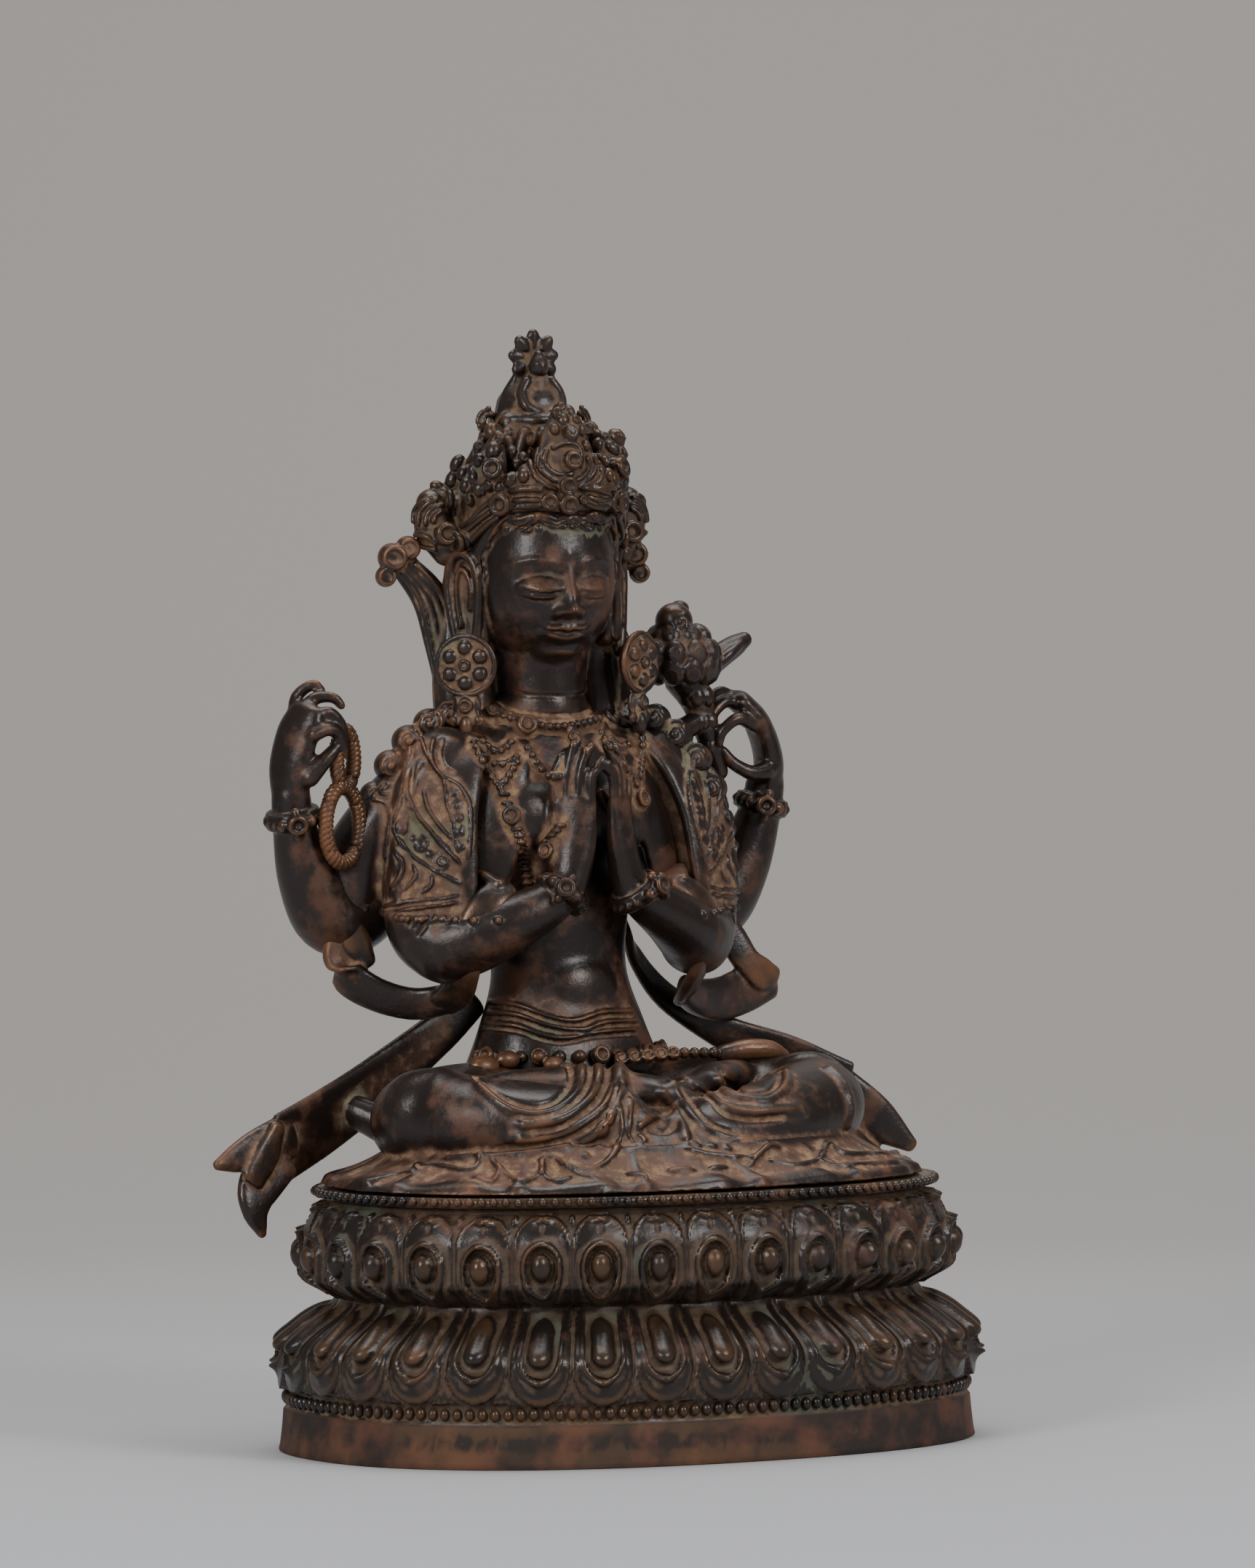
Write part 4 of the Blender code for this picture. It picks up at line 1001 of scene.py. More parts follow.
strandBosses = [(735, 692, 46), (893, 850, 42), (1300, 622, 42)]
pearlLines = {
    "collar": [(700, 262), (760, 275), (830, 290), (905, 302), (980, 296), (1050, 284), (1110, 268)],
    "festoonOne": [(600, 372), (632, 398), (665, 410), (700, 402), (728, 372)],
    "festoonTwo": [(582, 410), (620, 445), (668, 470), (715, 462), (752, 440)],
    "innerV": [(566, 375), (590, 440), (622, 490), (652, 530), (682, 572)],
    "innerVBack": [(682, 572), (700, 545), (728, 505), (752, 462)],
    "loopOuter": [(800, 400), (830, 450), (868, 495), (910, 520), (950, 520)],
    "rightStrand": [(1180, 380), (1200, 430), (1230, 480), (1260, 520), (1275, 560)],
    "rightFestoon": [(1120, 330), (1150, 380), (1190, 400), (1240, 380)],
    "rightInner": [(1300, 330), (1310, 390), (1300, 450), (1290, 520)],
}
flatStrands = {
    "leftLong": [(700, 600), (712, 640)],
    "leftLow": [(752, 750), (768, 800), (780, 850), (786, 900), (792, 950), (800, 985)],
    "middleSlant": [(950, 735), (915, 780), (885, 815)],
}
def trunkForms(skin):
    body = [
        (0, 25, 6, 24, 17), (0, 25, 18, 22, 15), (0, 25.5, 29, 17.6, 12.6), (0, 26.5, 40, 14.2, 10.6),
        (0, 27.5, 52, 15.4, 11.2), (0, 29, 66, 19.6, 12.6), (0, 30, 78, 21.5, 12.2), (0, 31, 86, 15.0, 9.4),
    ]
    sweep(skin, body, sides=40, power=2.2)
    for side in (-1, 1):
        ball(skin, (side * 9.0, 20.8, 71), (9.6, 6.6, 8.2))
        ball(skin, (side * 14, 31, 84), (11, 8, 5.5), turn=(0, side * 24, 0))
        ball(skin, (side * 25.5, 31, 80), (8.5, 8.5, 7.5))
    ball(skin, (0, 18.2, 36), (8.6, 4.4, 7.4))
    limb(skin, [(0, 31.5, 82, 11.0), (0, 32, 90, 9.4), (0, 32.3, 97, 9.0), (0, 32.5, 106, 9.2)], sides=28)
    bothSides(lambda p: limb(skin, p, sides=20), [(7, 34, 90, 6.0), (15, 34, 85, 7.0), (24, 32.5, 80, 7.5)])


def frontArmForms(skin):
    upper = [(23, 31, 81, 8.8), (28, 29, 72, 8.8), (31, 26.5, 59, 8.2), (31.5, 24.5, 49.5, 7.8),
        (28.5, 20.5, 45.8, 7.6)]
    bothSides(lambda p: limb(skin, p, sides=28), upper)
    fore = [(29.5, 21.5, 46.2, 7.6), (25, 17, 47.6, 7.2), (18.5, 12.8, 50.6, 6.0), (12.0, 10.6, 54.0, 4.8),
        (8.2, 10.2, 56.5, 4.1)]
    bothSides(lambda p: limb(skin, p, sides=28), fore)


def handForms(skin):
    palm = [(7.4, 10.2, 56.5, 3.9, 3.4), (6.2, 10.3, 61.5, 4.4, 3.2), (5.4, 10.4, 67.5, 4.9, 2.7),
        (5.2, 10.5, 74.5, 4.7, 1.9)]
    for side in (-1, 1):
        sweep(skin, [(side * x, *rest) for x, *rest in palm], side=(side * 0.77, 0.64, 0), sides=24)


def fingerForms(skin):
    fingers = ((-3.75, 83.6, 1.05), (-1.3, 86.2, 1.15), (1.25, 87.4, 1.18), (3.75, 85.2, 1.12))
    for offset, reach, thick in fingers:
        joints = ((5.3, 73.0, 0.9), (5.5, 76.5, 1.0), (5.2, 80.0, 1.03), (4.0, reach - 2.6, 0.98),
            (2.7, reach - 0.6, 0.78))
        run = [(x + 0.77 * offset, 10.5 + 0.64 * offset, z, thick * size) for x, z, size in joints]
        bothSides(lambda p: limb(skin, p, sides=16), run)
        for side in (-1, 1):
            nail = (side * (3.9 + 0.77 * offset + 0.64 * 0.75), 10.5 + 0.64 * offset - 0.77 * 0.75,
                reach - 1.6)
            ball(skin, nail, (0.72, 0.40, 1.1), turn=(0, 0, side * 50), form=beadForm)
    thumb = [(8.4, 13.4, 64.0, 2.0), (7.4, 15.2, 69, 1.6), (5.2, 15.6, 73.4, 1.35), (3.6, 15.2, 76.0, 1.1)]
    bothSides(lambda p: limb(skin, p, sides=12), thumb)


shawlStrips = (  # which way each strip is wide, its sides, and its run on the right of the body
    ((0.75, 0.65), 24, [(19, 27.4, 87, 3.4, 1.8), (24.8, 23.8, 81, 6.0, 2.2), (29.0, 21.6, 72, 7.4, 2.3),
                        (30.8, 20.2, 62, 8.2, 2.3), (31.6, 19.4, 54, 8.2, 1.9)]),
    ((0.35, -0.9), 24, [(23, 32, 86.5, 4.6, 2.2), (31.4, 30.6, 79, 6.8, 2.8), (35.2, 29, 68, 7.6, 2.9),
                        (36.4, 28, 55, 7.4, 2.4)]),
    ((0.85, 0.45), 20, [(10.4, 23.8, 86, 3.6, 1.2), (15, 20.6, 79, 4.6, 1.5), (18.4, 18.8, 68, 5.4, 1.7),
                        (20.8, 19.2, 58, 4.8, 1.6), (22, 20.4, 52, 3.0, 1.2)]),
    ((0.35, -0.9), 24, [(25, 34.5, 83, 6.0, 4.4), (33.5, 36.5, 74, 7.4, 5.6), (39.0, 38.2, 64, 8.0, 7.2),
                        (40.6, 38.8, 56.5, 7.6, 7.4)]),
    ((0.9, -0.5), 20, [(16, 40, 86, 8, 2.2), (24, 39.8, 74, 9.6, 2.4), (27, 37.4, 60, 9, 2.2)]),
)


def shawlForms(skin):
    for side in (-1, 1):
        for (across, ahead), sides, strip in shawlStrips:
            sweep(skin, [(side * x, *rest) for x, *rest in strip], side=(side * across, ahead, 0),
                sides=sides)


def bracelet(skin, centre, axis, radius, front):  # a beaded cuff with a jewel on the side that faces out
    right, up, out = facingFrame(axis)
    hoop(skin, centre, axis, radius, 0.70, 32)
    hoop(skin, np.array(centre) + out * 2.2, axis, radius * 0.97, 0.65, 32)
    for step in range(18):
        a = step / 18 * math.tau
        spoke = math.cos(a) * right + math.sin(a) * up
        bead(skin, np.array(centre) + out * 1.1 + spoke * (radius + 0.4), 0.86, spoke, 0.9)
    toFront = np.array(front, float)
    toFront = unit(toFront - out * (toFront @ out))
    spot = np.array(centre) + out * 1.1 + toFront * (radius + 1.2)
    boss(skin, spot + toFront * 0.5, toFront, 2.2)
    for turn in (-1, 1):
        beside = unit(toFront + np.cross(out, toFront) * 0.5 * turn)
        bead(skin, np.array(centre) + out * 1.1 + beside * (radius + 0.9), 1.35, beside)
    bead(skin, spot + out * 2.4, 1.15, toFront)
    bead(skin, spot - out * 2.4, 1.15, toFront)


def ownScale(view):  # millimetres of the figure in one pixel of a close-up
    return 0.1559 / view["scale"]


def jewelOn(skin, tree, view, places, lift=0.45):
    found = []
    for u, v, size in places:
        spots, normals = seen(tree, view, [(u, v)], smooth=False)
        if len(spots):
            boss(skin, spots[0] + normals[0] * lift, normals[0], size * ownScale(view))
            found.append(spots)
    return found


def pearlsOn(skin, tree, view, lines, radius, pitch, flat=0.9, stretch=(1, 1), longestLeap=3.0):
    found = []
    for line in lines.values():
        spots, normals = seen(tree, view, line)
        # a strand ends where its line leaps from the chest to a hand before it
        leaps = np.nonzero(np.linalg.norm(np.diff(spots, axis=0), axis=1) > longestLeap)[0] + 1
        for run, facing in zip(np.split(spots, leaps), np.split(normals, leaps)):
            if len(run) > 1:
                beadRow(skin, run + facing * radius * 0.6, radius, pitch, flat, facing, stretch)
                found.append(run)
    return found


def makeTrunk():
    forms = newSkin()
    trunkForms(forms)
    frontArmForms(forms)
    handForms(forms)
    soft = softened("trunkForms", forms, trunk["softVoxel"], trunk["softRounds"])
    shawlForms(soft)
    soft = softened("trunkDress", soft, 0.5, 5)
    fingerForms(soft)
    soft = softened("trunkHands", soft, 0.38, 1)
    tree = treeOf(soft)
    for side in (-1, 1):
        wrist, axis = (side * 9.2, 10.2, 55.4), (-side * 0.62, -0.06, 0.78)
        bracelet(soft, wrist, axis, trunk["braceletRadius"], (side * 0.5, -1, 0.1))
        # beaded armlet at the shawl's lower edge
        centre, axis = np.array((side * 31.6, 24.0, 53.0)), (side * 0.10, -0.16, 1)
        right, up, out = facingFrame(axis)
        for step in range(trunk["armletBeads"]):
            a = step / trunk["armletBeads"] * math.tau
            spoke = math.cos(a) * right + math.sin(a) * up
            hit, normal, _, _ = tree.ray_cast(tuple(centre + spoke * 20), tuple(-spoke))
            if hit is not None and abs(hit[0]) > 21:
                bead(soft, np.array(hit) + spoke * 0.2, 0.85, spoke, 0.9)
    dressSpots = jewelOn(soft, tree, chestView, collarBosses) + jewelOn(soft, tree, chestView, strandBosses)
    dressSpots += pearlsOn(soft, tree, chestView, pearlLines, trunk["pearlRadius"], trunk["pearlPitch"])
    dressSpots += pearlsOn(soft, tree, chestView, flatStrands, 1.0, 1.5, 0.7, (1.35, 0.55))
    for u, v, size, hand in shawlScrolls:
        spots, normals = seen(tree, chestView, [(u, v)], smooth=False)
        if len(spots):
            for spot, normal in ((spots[0], normals[0]), [w[0] for w in otherSide(tree, spots)]):
                turn = hand if spot[0] < 0 else -hand
                spiral(soft, spot, normal, size * ownScale(chestView), 1.5, 90, turn, 0.36)
    piece = meshFrom("trunk", soft)
    fuse(piece, trunk["voxel"], 1, 0.4)
    tree = treeOfPiece(piece)
    lines = []
    for group, width, height in ((shawlCrests, 0.46, 0.75), (shawlFurrows, 0.45, -0.55)):
        for line in group.values():
            spots, _ = seen(tree, chestView, line)
            if len(spots) > 1:
                lines += [(spots, width, height), (otherSide(tree, spots)[0], width, height)]
    lines += [(seen(tree, legsView, line)[0], 0.65, 0.6) for line in waistWaves.values()]
    lines += [(seen(tree, legsView, [(u, v + 14) for u, v in line])[0], 0.5,
        -0.4) for line in waistWaves.values()]
    for height, reach in ((88.8, 10.2), (92.4, 9.2), (96.2, 8.8)):
        loop = [(reach * math.cos(a), 32 + reach * math.sin(a),
            height + 0.9 * math.sin(a)) for a in np.linspace(0, math.tau, 40)]
        lines.append((onTo(tree, loop, 2)[0], 0.55, -0.4))
    relief(piece, lines)
    nearDress = nearness(np.vstack(dressSpots), 4.6)

    def dressed(places):  # the shawl over shoulders and back, the ground round the necklaces, the sash
        x, y, z = np.abs(places[:, 0]), places[:, 1], places[:, 2]
        shawl = easeStep(51, 54, z) * easeStep(93, 89, z) * np.maximum(easeStep(20, 23.5, x),
            easeStep(28, 32, y))
        return np.maximum(np.maximum(shawl * 0.8, nearDress(places) * 1.3), easeStep(38, 35.5, z) * 0.5)

    finish(piece, ornateCopper, 145000, worked=dressed)


# Rear arms, rosary and lotus


rearArms = {
    "softVoxel": 0.5,
    "voxel": 0.36,
    "bloomVoxel": 0.30,
    "rosaryRadius": 1.5,
    "rosaryPitch": 3.1,
    "braceletRadius": 5.0,
    "leftInward": -1.8,  # the left forearm stands nearer to the body
}


def rearArmForms(skin):
    for side, reach in ((-1, 0.0), (1, rearArms["leftInward"])):
        arm = [(21, 35, 77, 7.6), (31, 38, 62, 7.6), (39, 39, 52.2, 7.4), (46 + reach, 38.5, 52, 7.2),
               (51.4 + reach, 37.5, 60.5, 6.0), (55.0 + reach, 36, 71, 4.3), (55.8 + reach, 35.5, 76, 4.0)]
        limb(skin, [(side * x, *rest) for x, *rest in arm], sides=28)


def rightRearHand(skin):
    palm = [(-55.8, 35.5, 75, 4.0, 3.4), (-56.2, 35, 82, 5.0, 3.0), (-54.6, 34.5, 89, 5.3, 2.6),
        (-52.9, 34, 93, 4.6, 2.2)]
    sweep(skin, palm, side=(0.35, -0.9, 0.1), sides=20)
    fingers = (
        [(-53.8, 37.6, 91, 1.6), (-52.9, 38.0, 96.0, 1.35), (-50.0, 36.6, 98.4, 1.15),
        (-48.6, 35.6, 97.2, 1.0)],
        [(-53.2, 35.0, 92.5, 1.6), (-51.0, 34.4, 95.6, 1.4), (-47.6, 32.6, 95.8, 1.15),
        (-46.2, 31.8, 94.2, 1.0)],
        [(-52.8, 32.2, 91.5, 1.6), (-49.6, 31.0, 92.9, 1.4), (-46.9, 30.6, 90.4, 1.2),
        (-46.4, 30.4, 87.6, 1.05)],
        [(-53.6, 29.8, 88.6, 1.5), (-50.0, 29.4, 89.6, 1.35), (-47.2, 29.8, 87.0, 1.15),
        (-46.9, 30.0, 84.4, 1.0)],
        [(-54.2, 30.6, 80, 2.0), (-50.6, 29.8, 84.0, 1.6), (-47.6, 30.2, 86.6, 1.3)],
    )
    for run in fingers:
        limb(skin, run, sides=14)


def leftRearHand(skin):
    palm = [(54, 35.5, 75, 4.0, 3.4), (54.6, 35, 81, 5.2, 3.0), (51.8, 34.5, 88.5, 5.5, 2.6),
        (47.4, 34, 93.2, 4.2, 2.2)]
    sweep(skin, palm, side=(-0.35, -0.9, 0.1), sides=20)
    fingers = (
        [(48.6, 36.8, 92, 1.7), (44.4, 36.2, 95.0, 1.4), (41.0, 35.2, 93.2, 1.2), (39.8, 34.4, 90.4, 1.05)],
        [(48.2, 34.0, 91.4, 1.7), (43.8, 33.2, 93.2, 1.4), (40.4, 32.8, 90.8, 1.2),
        (39.6, 32.6, 88.0, 1.05)],
        [(49.0, 31.4, 88.4, 1.7), (44.8, 30.6, 89.7, 1.4), (41.4, 31.0, 87.2, 1.2),
        (40.8, 31.4, 84.8, 1.05)],
        [(52.2, 31.5, 79, 2.0), (48.0, 30.8, 78.6, 1.6), (44.2, 31.6, 80.6, 1.4), (42.4, 32.4, 83.0, 1.2)],
    )
    for run in fingers:
        limb(skin, run, sides=14)


def rosaryRope(skin):
    # the string of beads, cast as a twisted rope: two loops, one above the other
    ring = [(math.sin(a), math.cos(a)) for a in np.linspace(0, math.tau, 30)]
    upper = [(-45.6 + 2.6 * s, 31.6 + 1.2 * s, 83.6 + 5.6 * c) for s, c in ring]
    ring = [(math.sin(a), math.cos(a)) for a in np.linspace(0, math.tau, 40)]
    lower = [(-46.4 + 4.6 * s, 31.4 + 1.4 * s, 70.4 + 7.6 * c) for s, c in ring]
    for loop in (upper, lower):
        rope(skin, np.array(loop), rearArms["rosaryRadius"], rearArms["rosaryPitch"], 3, 0.62)


def lotusBloom(skin):
    stem = [(42, 33.5, 79, 1.9), (39.5, 34, 87, 2.6), (37.5, 34.5, 93, 3.2), (35, 34.5, 98, 4.6)]
    limb(skin, stem, sides=16)
    for z, x, size in ((84, 40.2, 2.6), (89, 38.6, 3.0), (94, 37.0, 3.6)):
        for a in range(0, 360, 60):
            way = np.array((math.cos(math.radians(a)), math.sin(math.radians(a)), 0.15))
            bead(skin, np.array((x, 34, z)) + way * size * 0.75, size * 0.5, way, 0.7, (1, 1.25))
    ball(skin, (33.0, 34, 103.0), (7.6, 7.2, 6.2))
    rows = ((11, 7.0, 99.4, 2.7, -0.5), (10, 7.3, 103.2, 2.5, 0.1), (8, 5.2, 107.2, 2.2, 0.8))
    for row, (count, reach, z, size, tilt) in enumerate(rows):
        for step in range(count):
            a = (step + 0.5 * (row % 2)) / count * math.tau
            way = np.array((math.cos(a), math.sin(a), tilt))
            spot = np.array((33.0, 34, z)) + np.array((math.cos(a), math.sin(a), 0)) * reach
            bead(skin, spot, size, way, 0.55, (0.95, 1.15))
            hoop(skin, spot + unit(way) * size * 0.42, way, size * 0.5, size * 0.13, 14, 6)
    ball(skin, (31.4, 33, 109.6), (3.9, 3.8, 3.9))
    spiral(skin, (31.0, 29.6, 109.6), (-0.3, -0.9, 0.3), 2.2, 1.4, 60, 1, 0.4)
    ball(skin, (33.6, 34.6, 112.2), (2.0, 2.2, 1.7))
    bud = [(38, 34, 99.6, 3.0), (43, 34, 102.6, 2.6), (46.2, 34, 104.4, 2.3), (48.4, 34, 105.6, 1.7)]
    limb(skin, bud, sides=18)
    limb(skin, [(40, 31.4, 100.4, 1.3), (43.5, 31.2, 103.0, 1.2), (47, 32.6, 105, 0.9)], sides=10)
    limb(skin, [(40, 34, 91, 2.2), (34, 33, 88, 2.4), (28, 32, 86, 2.8)], sides=12)


def makeRearArms():
    forms = newSkin()
    rearArmForms(forms)
    rightRearHand(forms)
    leftRearHand(forms)
    soft = softened("rearForms", forms, rearArms["softVoxel"], 3)
    for side, reach in ((-1, 0.0), (1, rearArms["leftInward"])):
        bracelet(soft, (side * (54.9 + reach), 36.1, 71.0), (side * 0.24, -0.12, 1),
            rearArms["braceletRadius"], (-0.4, -1, 0))
    piece = meshFrom("rearArms", soft)
    fuse(piece, rearArms["voxel"], 1)
    finish(piece, polishedCopper, 60000)
    string = newSkin()
    rosaryRope(string)
    finish(meshFrom("rosary", string), ornateCopper, 60000, worked=0.3)
    held = newSkin()
    lotusBloom(held)
    piece = meshFrom("lotusBloom", held)
    fuse(piece, rearArms["bloomVoxel"], 1, 0.4)
    finish(piece, crownCopper, 45000, worked=0.25)


# Head. The face is a general one, calm, on the usual proportions.

head = {"softVoxel": 0.5, "softRounds": 16, "voxel": 0.32, "lockWidth": 0.34, "lockHeight": 0.62}
face = {
    "mouth": 108.0,
    "noseFoot": 111.2,
    "eyes": 117.2,
    "brows": 121.4,
    "eyeCentre": 5.7,
}


def headForms(skin):
    ball(skin, (0, 33.5, 120.5), (14.8, 16.0, 17.4))
    oval = [
        (0, 31.0, 129, 12.8, 13.8), (0, 30.4, 122, 14.0, 14.5), (0, 29.8, 115, 13.7, 14.0),
        (0, 28.9, 109, 12.0, 12.4), (0, 27.6, 104.8, 8.8, 10.0), (0, 26.6, 102.6, 5.4, 7.2),
    ]
    sweep(skin, oval, sides=44, power=2.15, cap=1.6)
    limb(skin, [(0, 33, 96, 9.2), (0, 33, 106, 10.0)], sides=28)


def faceRise(x, z):  # how far the features stand out of the plain head, in mm
    ax = np.abs(x)
    f = face

    def hill(cx, cz, sx, sz):
        return np.exp(-(((ax - cx) / sx) ** 2) - ((z - cz) / sz) ** 2)

    rise = -1.0 * hill(5.8, 119.2, 4.2, 1.9)
    browLine = f["brows"] - 0.1 + 1.5 * np.sin(np.clip((ax - 1.0) / 11.8, 0, 1) * math.pi)
    rise += 0.62 * np.exp(-(((z - browLine) / 0.62) ** 2)) * easeStep(13.2, 10.8, ax) * easeStep(2.0, 4.6,
        ax)
    lid = 1 - ((ax - f["eyeCentre"]) / 4.4) ** 2 - ((z - f["eyes"] - 0.1) / 2.5) ** 2
    rise += 1.55 * np.sqrt(np.clip(lid, 0, 1))
    slit = f["eyes"] - 1.25 + 0.050 * (ax - f["eyeCentre"]) ** 2 + 0.06 * (ax - f["eyeCentre"])
    along = easeStep(1.7, 2.6, ax) * easeStep(10.6, 9.4, ax)
    rise -= 0.70 * np.exp(-(((z - slit) / 0.34) ** 2)) * along
    rise += 0.30 * np.exp(-(((z - slit - 0.66) / 0.34) ** 2)) * along
    rise += 0.25 * np.exp(-(((z - slit + 0.74) / 0.36) ** 2)) * along
    crease = f["eyes"] + 2.5 - 0.07 * (ax - f["eyeCentre"]) ** 2
    rise -= 0.34 * np.exp(-(((z - crease) / 0.36) ** 2)) * along
    bridge = easeStep(f["noseFoot"] - 0.4, f["noseFoot"] + 1.0, z) * easeStep(123.6, 115.5, z)
    down = np.clip((121.5 - z) / 9.5, 0, 1)
    width = 1.25 + 0.95 * down
    rise += bridge * (1.0 + 2.5 * down**1.2) * np.exp(-((ax / width) ** 2.2))
    rise += 1.15 * np.exp(-((ax / 1.8) ** 2) - ((z - 112.8) / 1.4) ** 2)
    rise += 1.25 * hill(2.6, 112.2, 1.0, 1.05)
    rise -= 0.35 * hill(1.35, 111.1, 0.6, 0.35)
    rise += 0.60 * np.exp(-((ax / 6.0) ** 4) - ((z - 108.2) / 2.6) ** 2)
    mouthLine = f["mouth"] + 0.024 * ax**2 + 0.07 * ax
    bow = 0.30 * np.exp(-((ax - 1.3) / 1.0) ** 2) - 0.16 * np.exp(-((ax / 0.6) ** 2))
    upperLip = mouthLine + 0.85 + bow - 0.030 * ax**2
    rise += 0.72 * np.exp(-(((z - upperLip) / 0.66) ** 2)) * easeStep(5.6, 3.8, ax)
    rise += 0.92 * np.exp(-(((z - mouthLine + 1.15 - 0.010 * ax**2) / 0.84) ** 2)) * easeStep(4.8, 2.6, ax)
    rise -= 0.62 * np.exp(-(((z - mouthLine) / 0.28) ** 2)) * easeStep(6.0, 5.0, ax)
    rise -= 0.22 * hill(6.0, 108.8, 0.8, 0.8)
    rise -= 0.34 * np.exp(-((ax / 3.6) ** 2) - ((z - 105.4) / 0.8) ** 2)
    rise += 0.75 * np.exp(-((ax / 3.8) ** 2) - ((z - 103.6) / 1.7) ** 2)
    rise += 0.30 * np.exp(-((ax / 0.95) ** 2) - ((z - 123.9) / 0.95) ** 2)  # the mark between the brows
    return rise


def carveFace(piece):
    places, normals = coordinates(piece), coordinates(piece, "normal")
    front = easeStep(0.05, 0.45, -normals[:, 1]) * easeStep(100.5, 102.5, places[:, 2])
    places[:, 1] -= faceRise(places[:, 0], places[:, 2]) * front
    moved(piece, places)


def earForms(skin):  # long ears that stand out from the head; a runs outwards along the ear
    rim = [(-2.4, 107.0), (-2.9, 113), (-3.0, 118.4), (-1.7, 122.6), (0.7, 124.2), (3.0, 122.4),
        (3.6, 117.2), (2.8, 111), (1.7, 106.2), (0.2, 103.8), (-1.6, 104.6)]
    fold = [(-1.0, 113.0), (-1.3, 117), (-0.5, 120.0), (1.0, 120.8), (1.8, 118.2), (1.6, 113.5),
        (0.9, 109.5)]
    for side in (-1, 1):
        def ear(a, z, out=0.0):
            return (side * (16.0 + 0.62 * a + 0.83 * out), 31.6 + 0.95 * a - 0.55 * out, z)

        limb(skin, [(*ear(a, z, 0.8), 1.05) for a, z in rim], sides=12)
        limb(skin, [(*ear(a, z, 0.8), 0.62) for a, z in fold], sides=10)
        limb(skin, [(*ear(-1.8, z, 0.9), 0.9) for z in (113.6, 115.4)], sides=10)
        plate = [(*ear(0.3, 122.0, -0.5), 3.0, 0.9), (*ear(0.4, 114.5, -0.5), 3.0, 0.9),
            (*ear(0.2, 105.6, -0.3), 1.9, 0.9)]
        sweep(skin, plate, side=(side * 0.55, 0.83, 0), sides=16)
        sweep(skin, [(side * 13.4, 31.5, 121, 3.2, 2.0), (side * 13.4, 31.0, 107, 3.0, 2.0)],
            side=(0, 1, 0), sides=14)


def earringForms(skin):
    for side in (-1, 1):
        facing = unit(np.array((side * 0.55, -0.83, 0.0)))
        right, up, out = facingFrame(facing)
        middle = np.array((side * 18.4, 26.2, 101.8))
        bead(skin, middle, 6.0, facing, 0.30)
        hoop(skin, middle + out * 0.9, facing, 5.9, 0.62, 40)
        boss(skin, middle + out * 1.9, facing, 1.35)
        for step in range(6):
            a = (step + 0.5) / 6 * math.tau
            spoke = math.cos(a) * right + math.sin(a) * up
            bead(skin, middle + spoke * 3.45 + out * 1.5, 1.75, facing, 0.55, (0.92, 0.92))
            hoop(skin, middle + spoke * 3.5 + out * 2.2, facing, 0.85, 0.22, 12, 6)
        low = middle - up * 8.1
        bead(skin, low, 3.4, facing, 0.4, (0.9, 1.1))
        boss(skin, low + out * 1.2, facing, 1.6)
        drop = middle - up * 12.2
        bead(skin, drop + out * 0.6, 1.7, facing, 0.9, (0.9, 1.45))
        for turn in (-1, 1):
            spiral(skin, drop + right * turn * 2.6 + up * 1.2 + out * 0.5, facing, 1.3, 1.2, 90, turn, 0.45)


shoulderCurls = [  # that step down each shoulder
    (20.0, 31.5, 91.4, 3.0), (24.4, 31.6, 90.0, 3.4), (28.9, 31.4, 86.6, 3.6),
    (33.0, 31, 81.8, 3.5), (36.4, 31.0, 75.8, 3.3), (38.2, 31.4, 69.6, 2.9),
]


def hairForms(skin):
    ball(skin, (0, 40.5, 114), (15.0, 10.0, 21))
    ball(skin, (0, 39.5, 98), (16.0, 7.0, 13))
    bothSides(lambda p: limb(skin, p, sides=16), [(12.5, 37, 112, 4.4), (13.2, 36, 101, 4.8),
        (14.0, 34.6, 91, 4.8)])
    for side in (-1, 1):
        lock = [(15.0, 40, 118, 3.0), (16.0, 39.4, 108, 4.0), (17.0, 37, 98, 4.4), (17.6, 34, 91, 4.6)]
        limb(skin, [(side * x, *rest) for x, *rest in lock], sides=16)
        for x, y, z, size in shoulderCurls:
            ball(skin, (side * x, y, z), (size, size, size * 0.95))
            facing = unit(np.array((-0.35, -0.92, 0.15)))
            spiral(skin, np.array((side * x, y, z)) + facing * size * 0.86, facing, size * 0.72, 1.4, 60,
                side, size * 0.2)


def ribbonForms(skin):
    for side, reach in ((-1, 28.5), (1, 22.5)):
        tie = [(17.6, 38.2, 98, 3.0, 1.5), (18.8, 39.2, 106, 3.4, 1.5), (reach - 7.8, 40.2, 115, 3.7, 1.5)]
        tie = [(side * x, *rest) for x, *rest in [*tie, (reach - 2.4, 40.6, 121.8, 2.8, 1.6)]]
        sweep(skin, tie, side=(0.95, side * 0.3, 0), sides=18, power=3)
        for shift in (-2.4, -0.8, 0.8, 2.4):
            strand = [(x + shift * (1.0 if z < 120 else 0.8), y - 1.5 + side * shift * 0.28, z, 0.75) for x,
                y, z, _, _ in tie]
            limb(skin, strand, sides=8)
        for x, z, size in ((0.6, 123.4, 3.0), (-2.8, 125.2, 2.6), (2.0, 119.6, 2.2)):
            spot = np.array((side * (reach + x), 39.4, z))
            ball(skin, spot, (size, size * 0.9, size))
            hoop(skin, spot + np.array((-0.2, -size * 0.7, 0)), (-0.3, -0.95, 0), size * 0.62, size * 0.26,
                16)


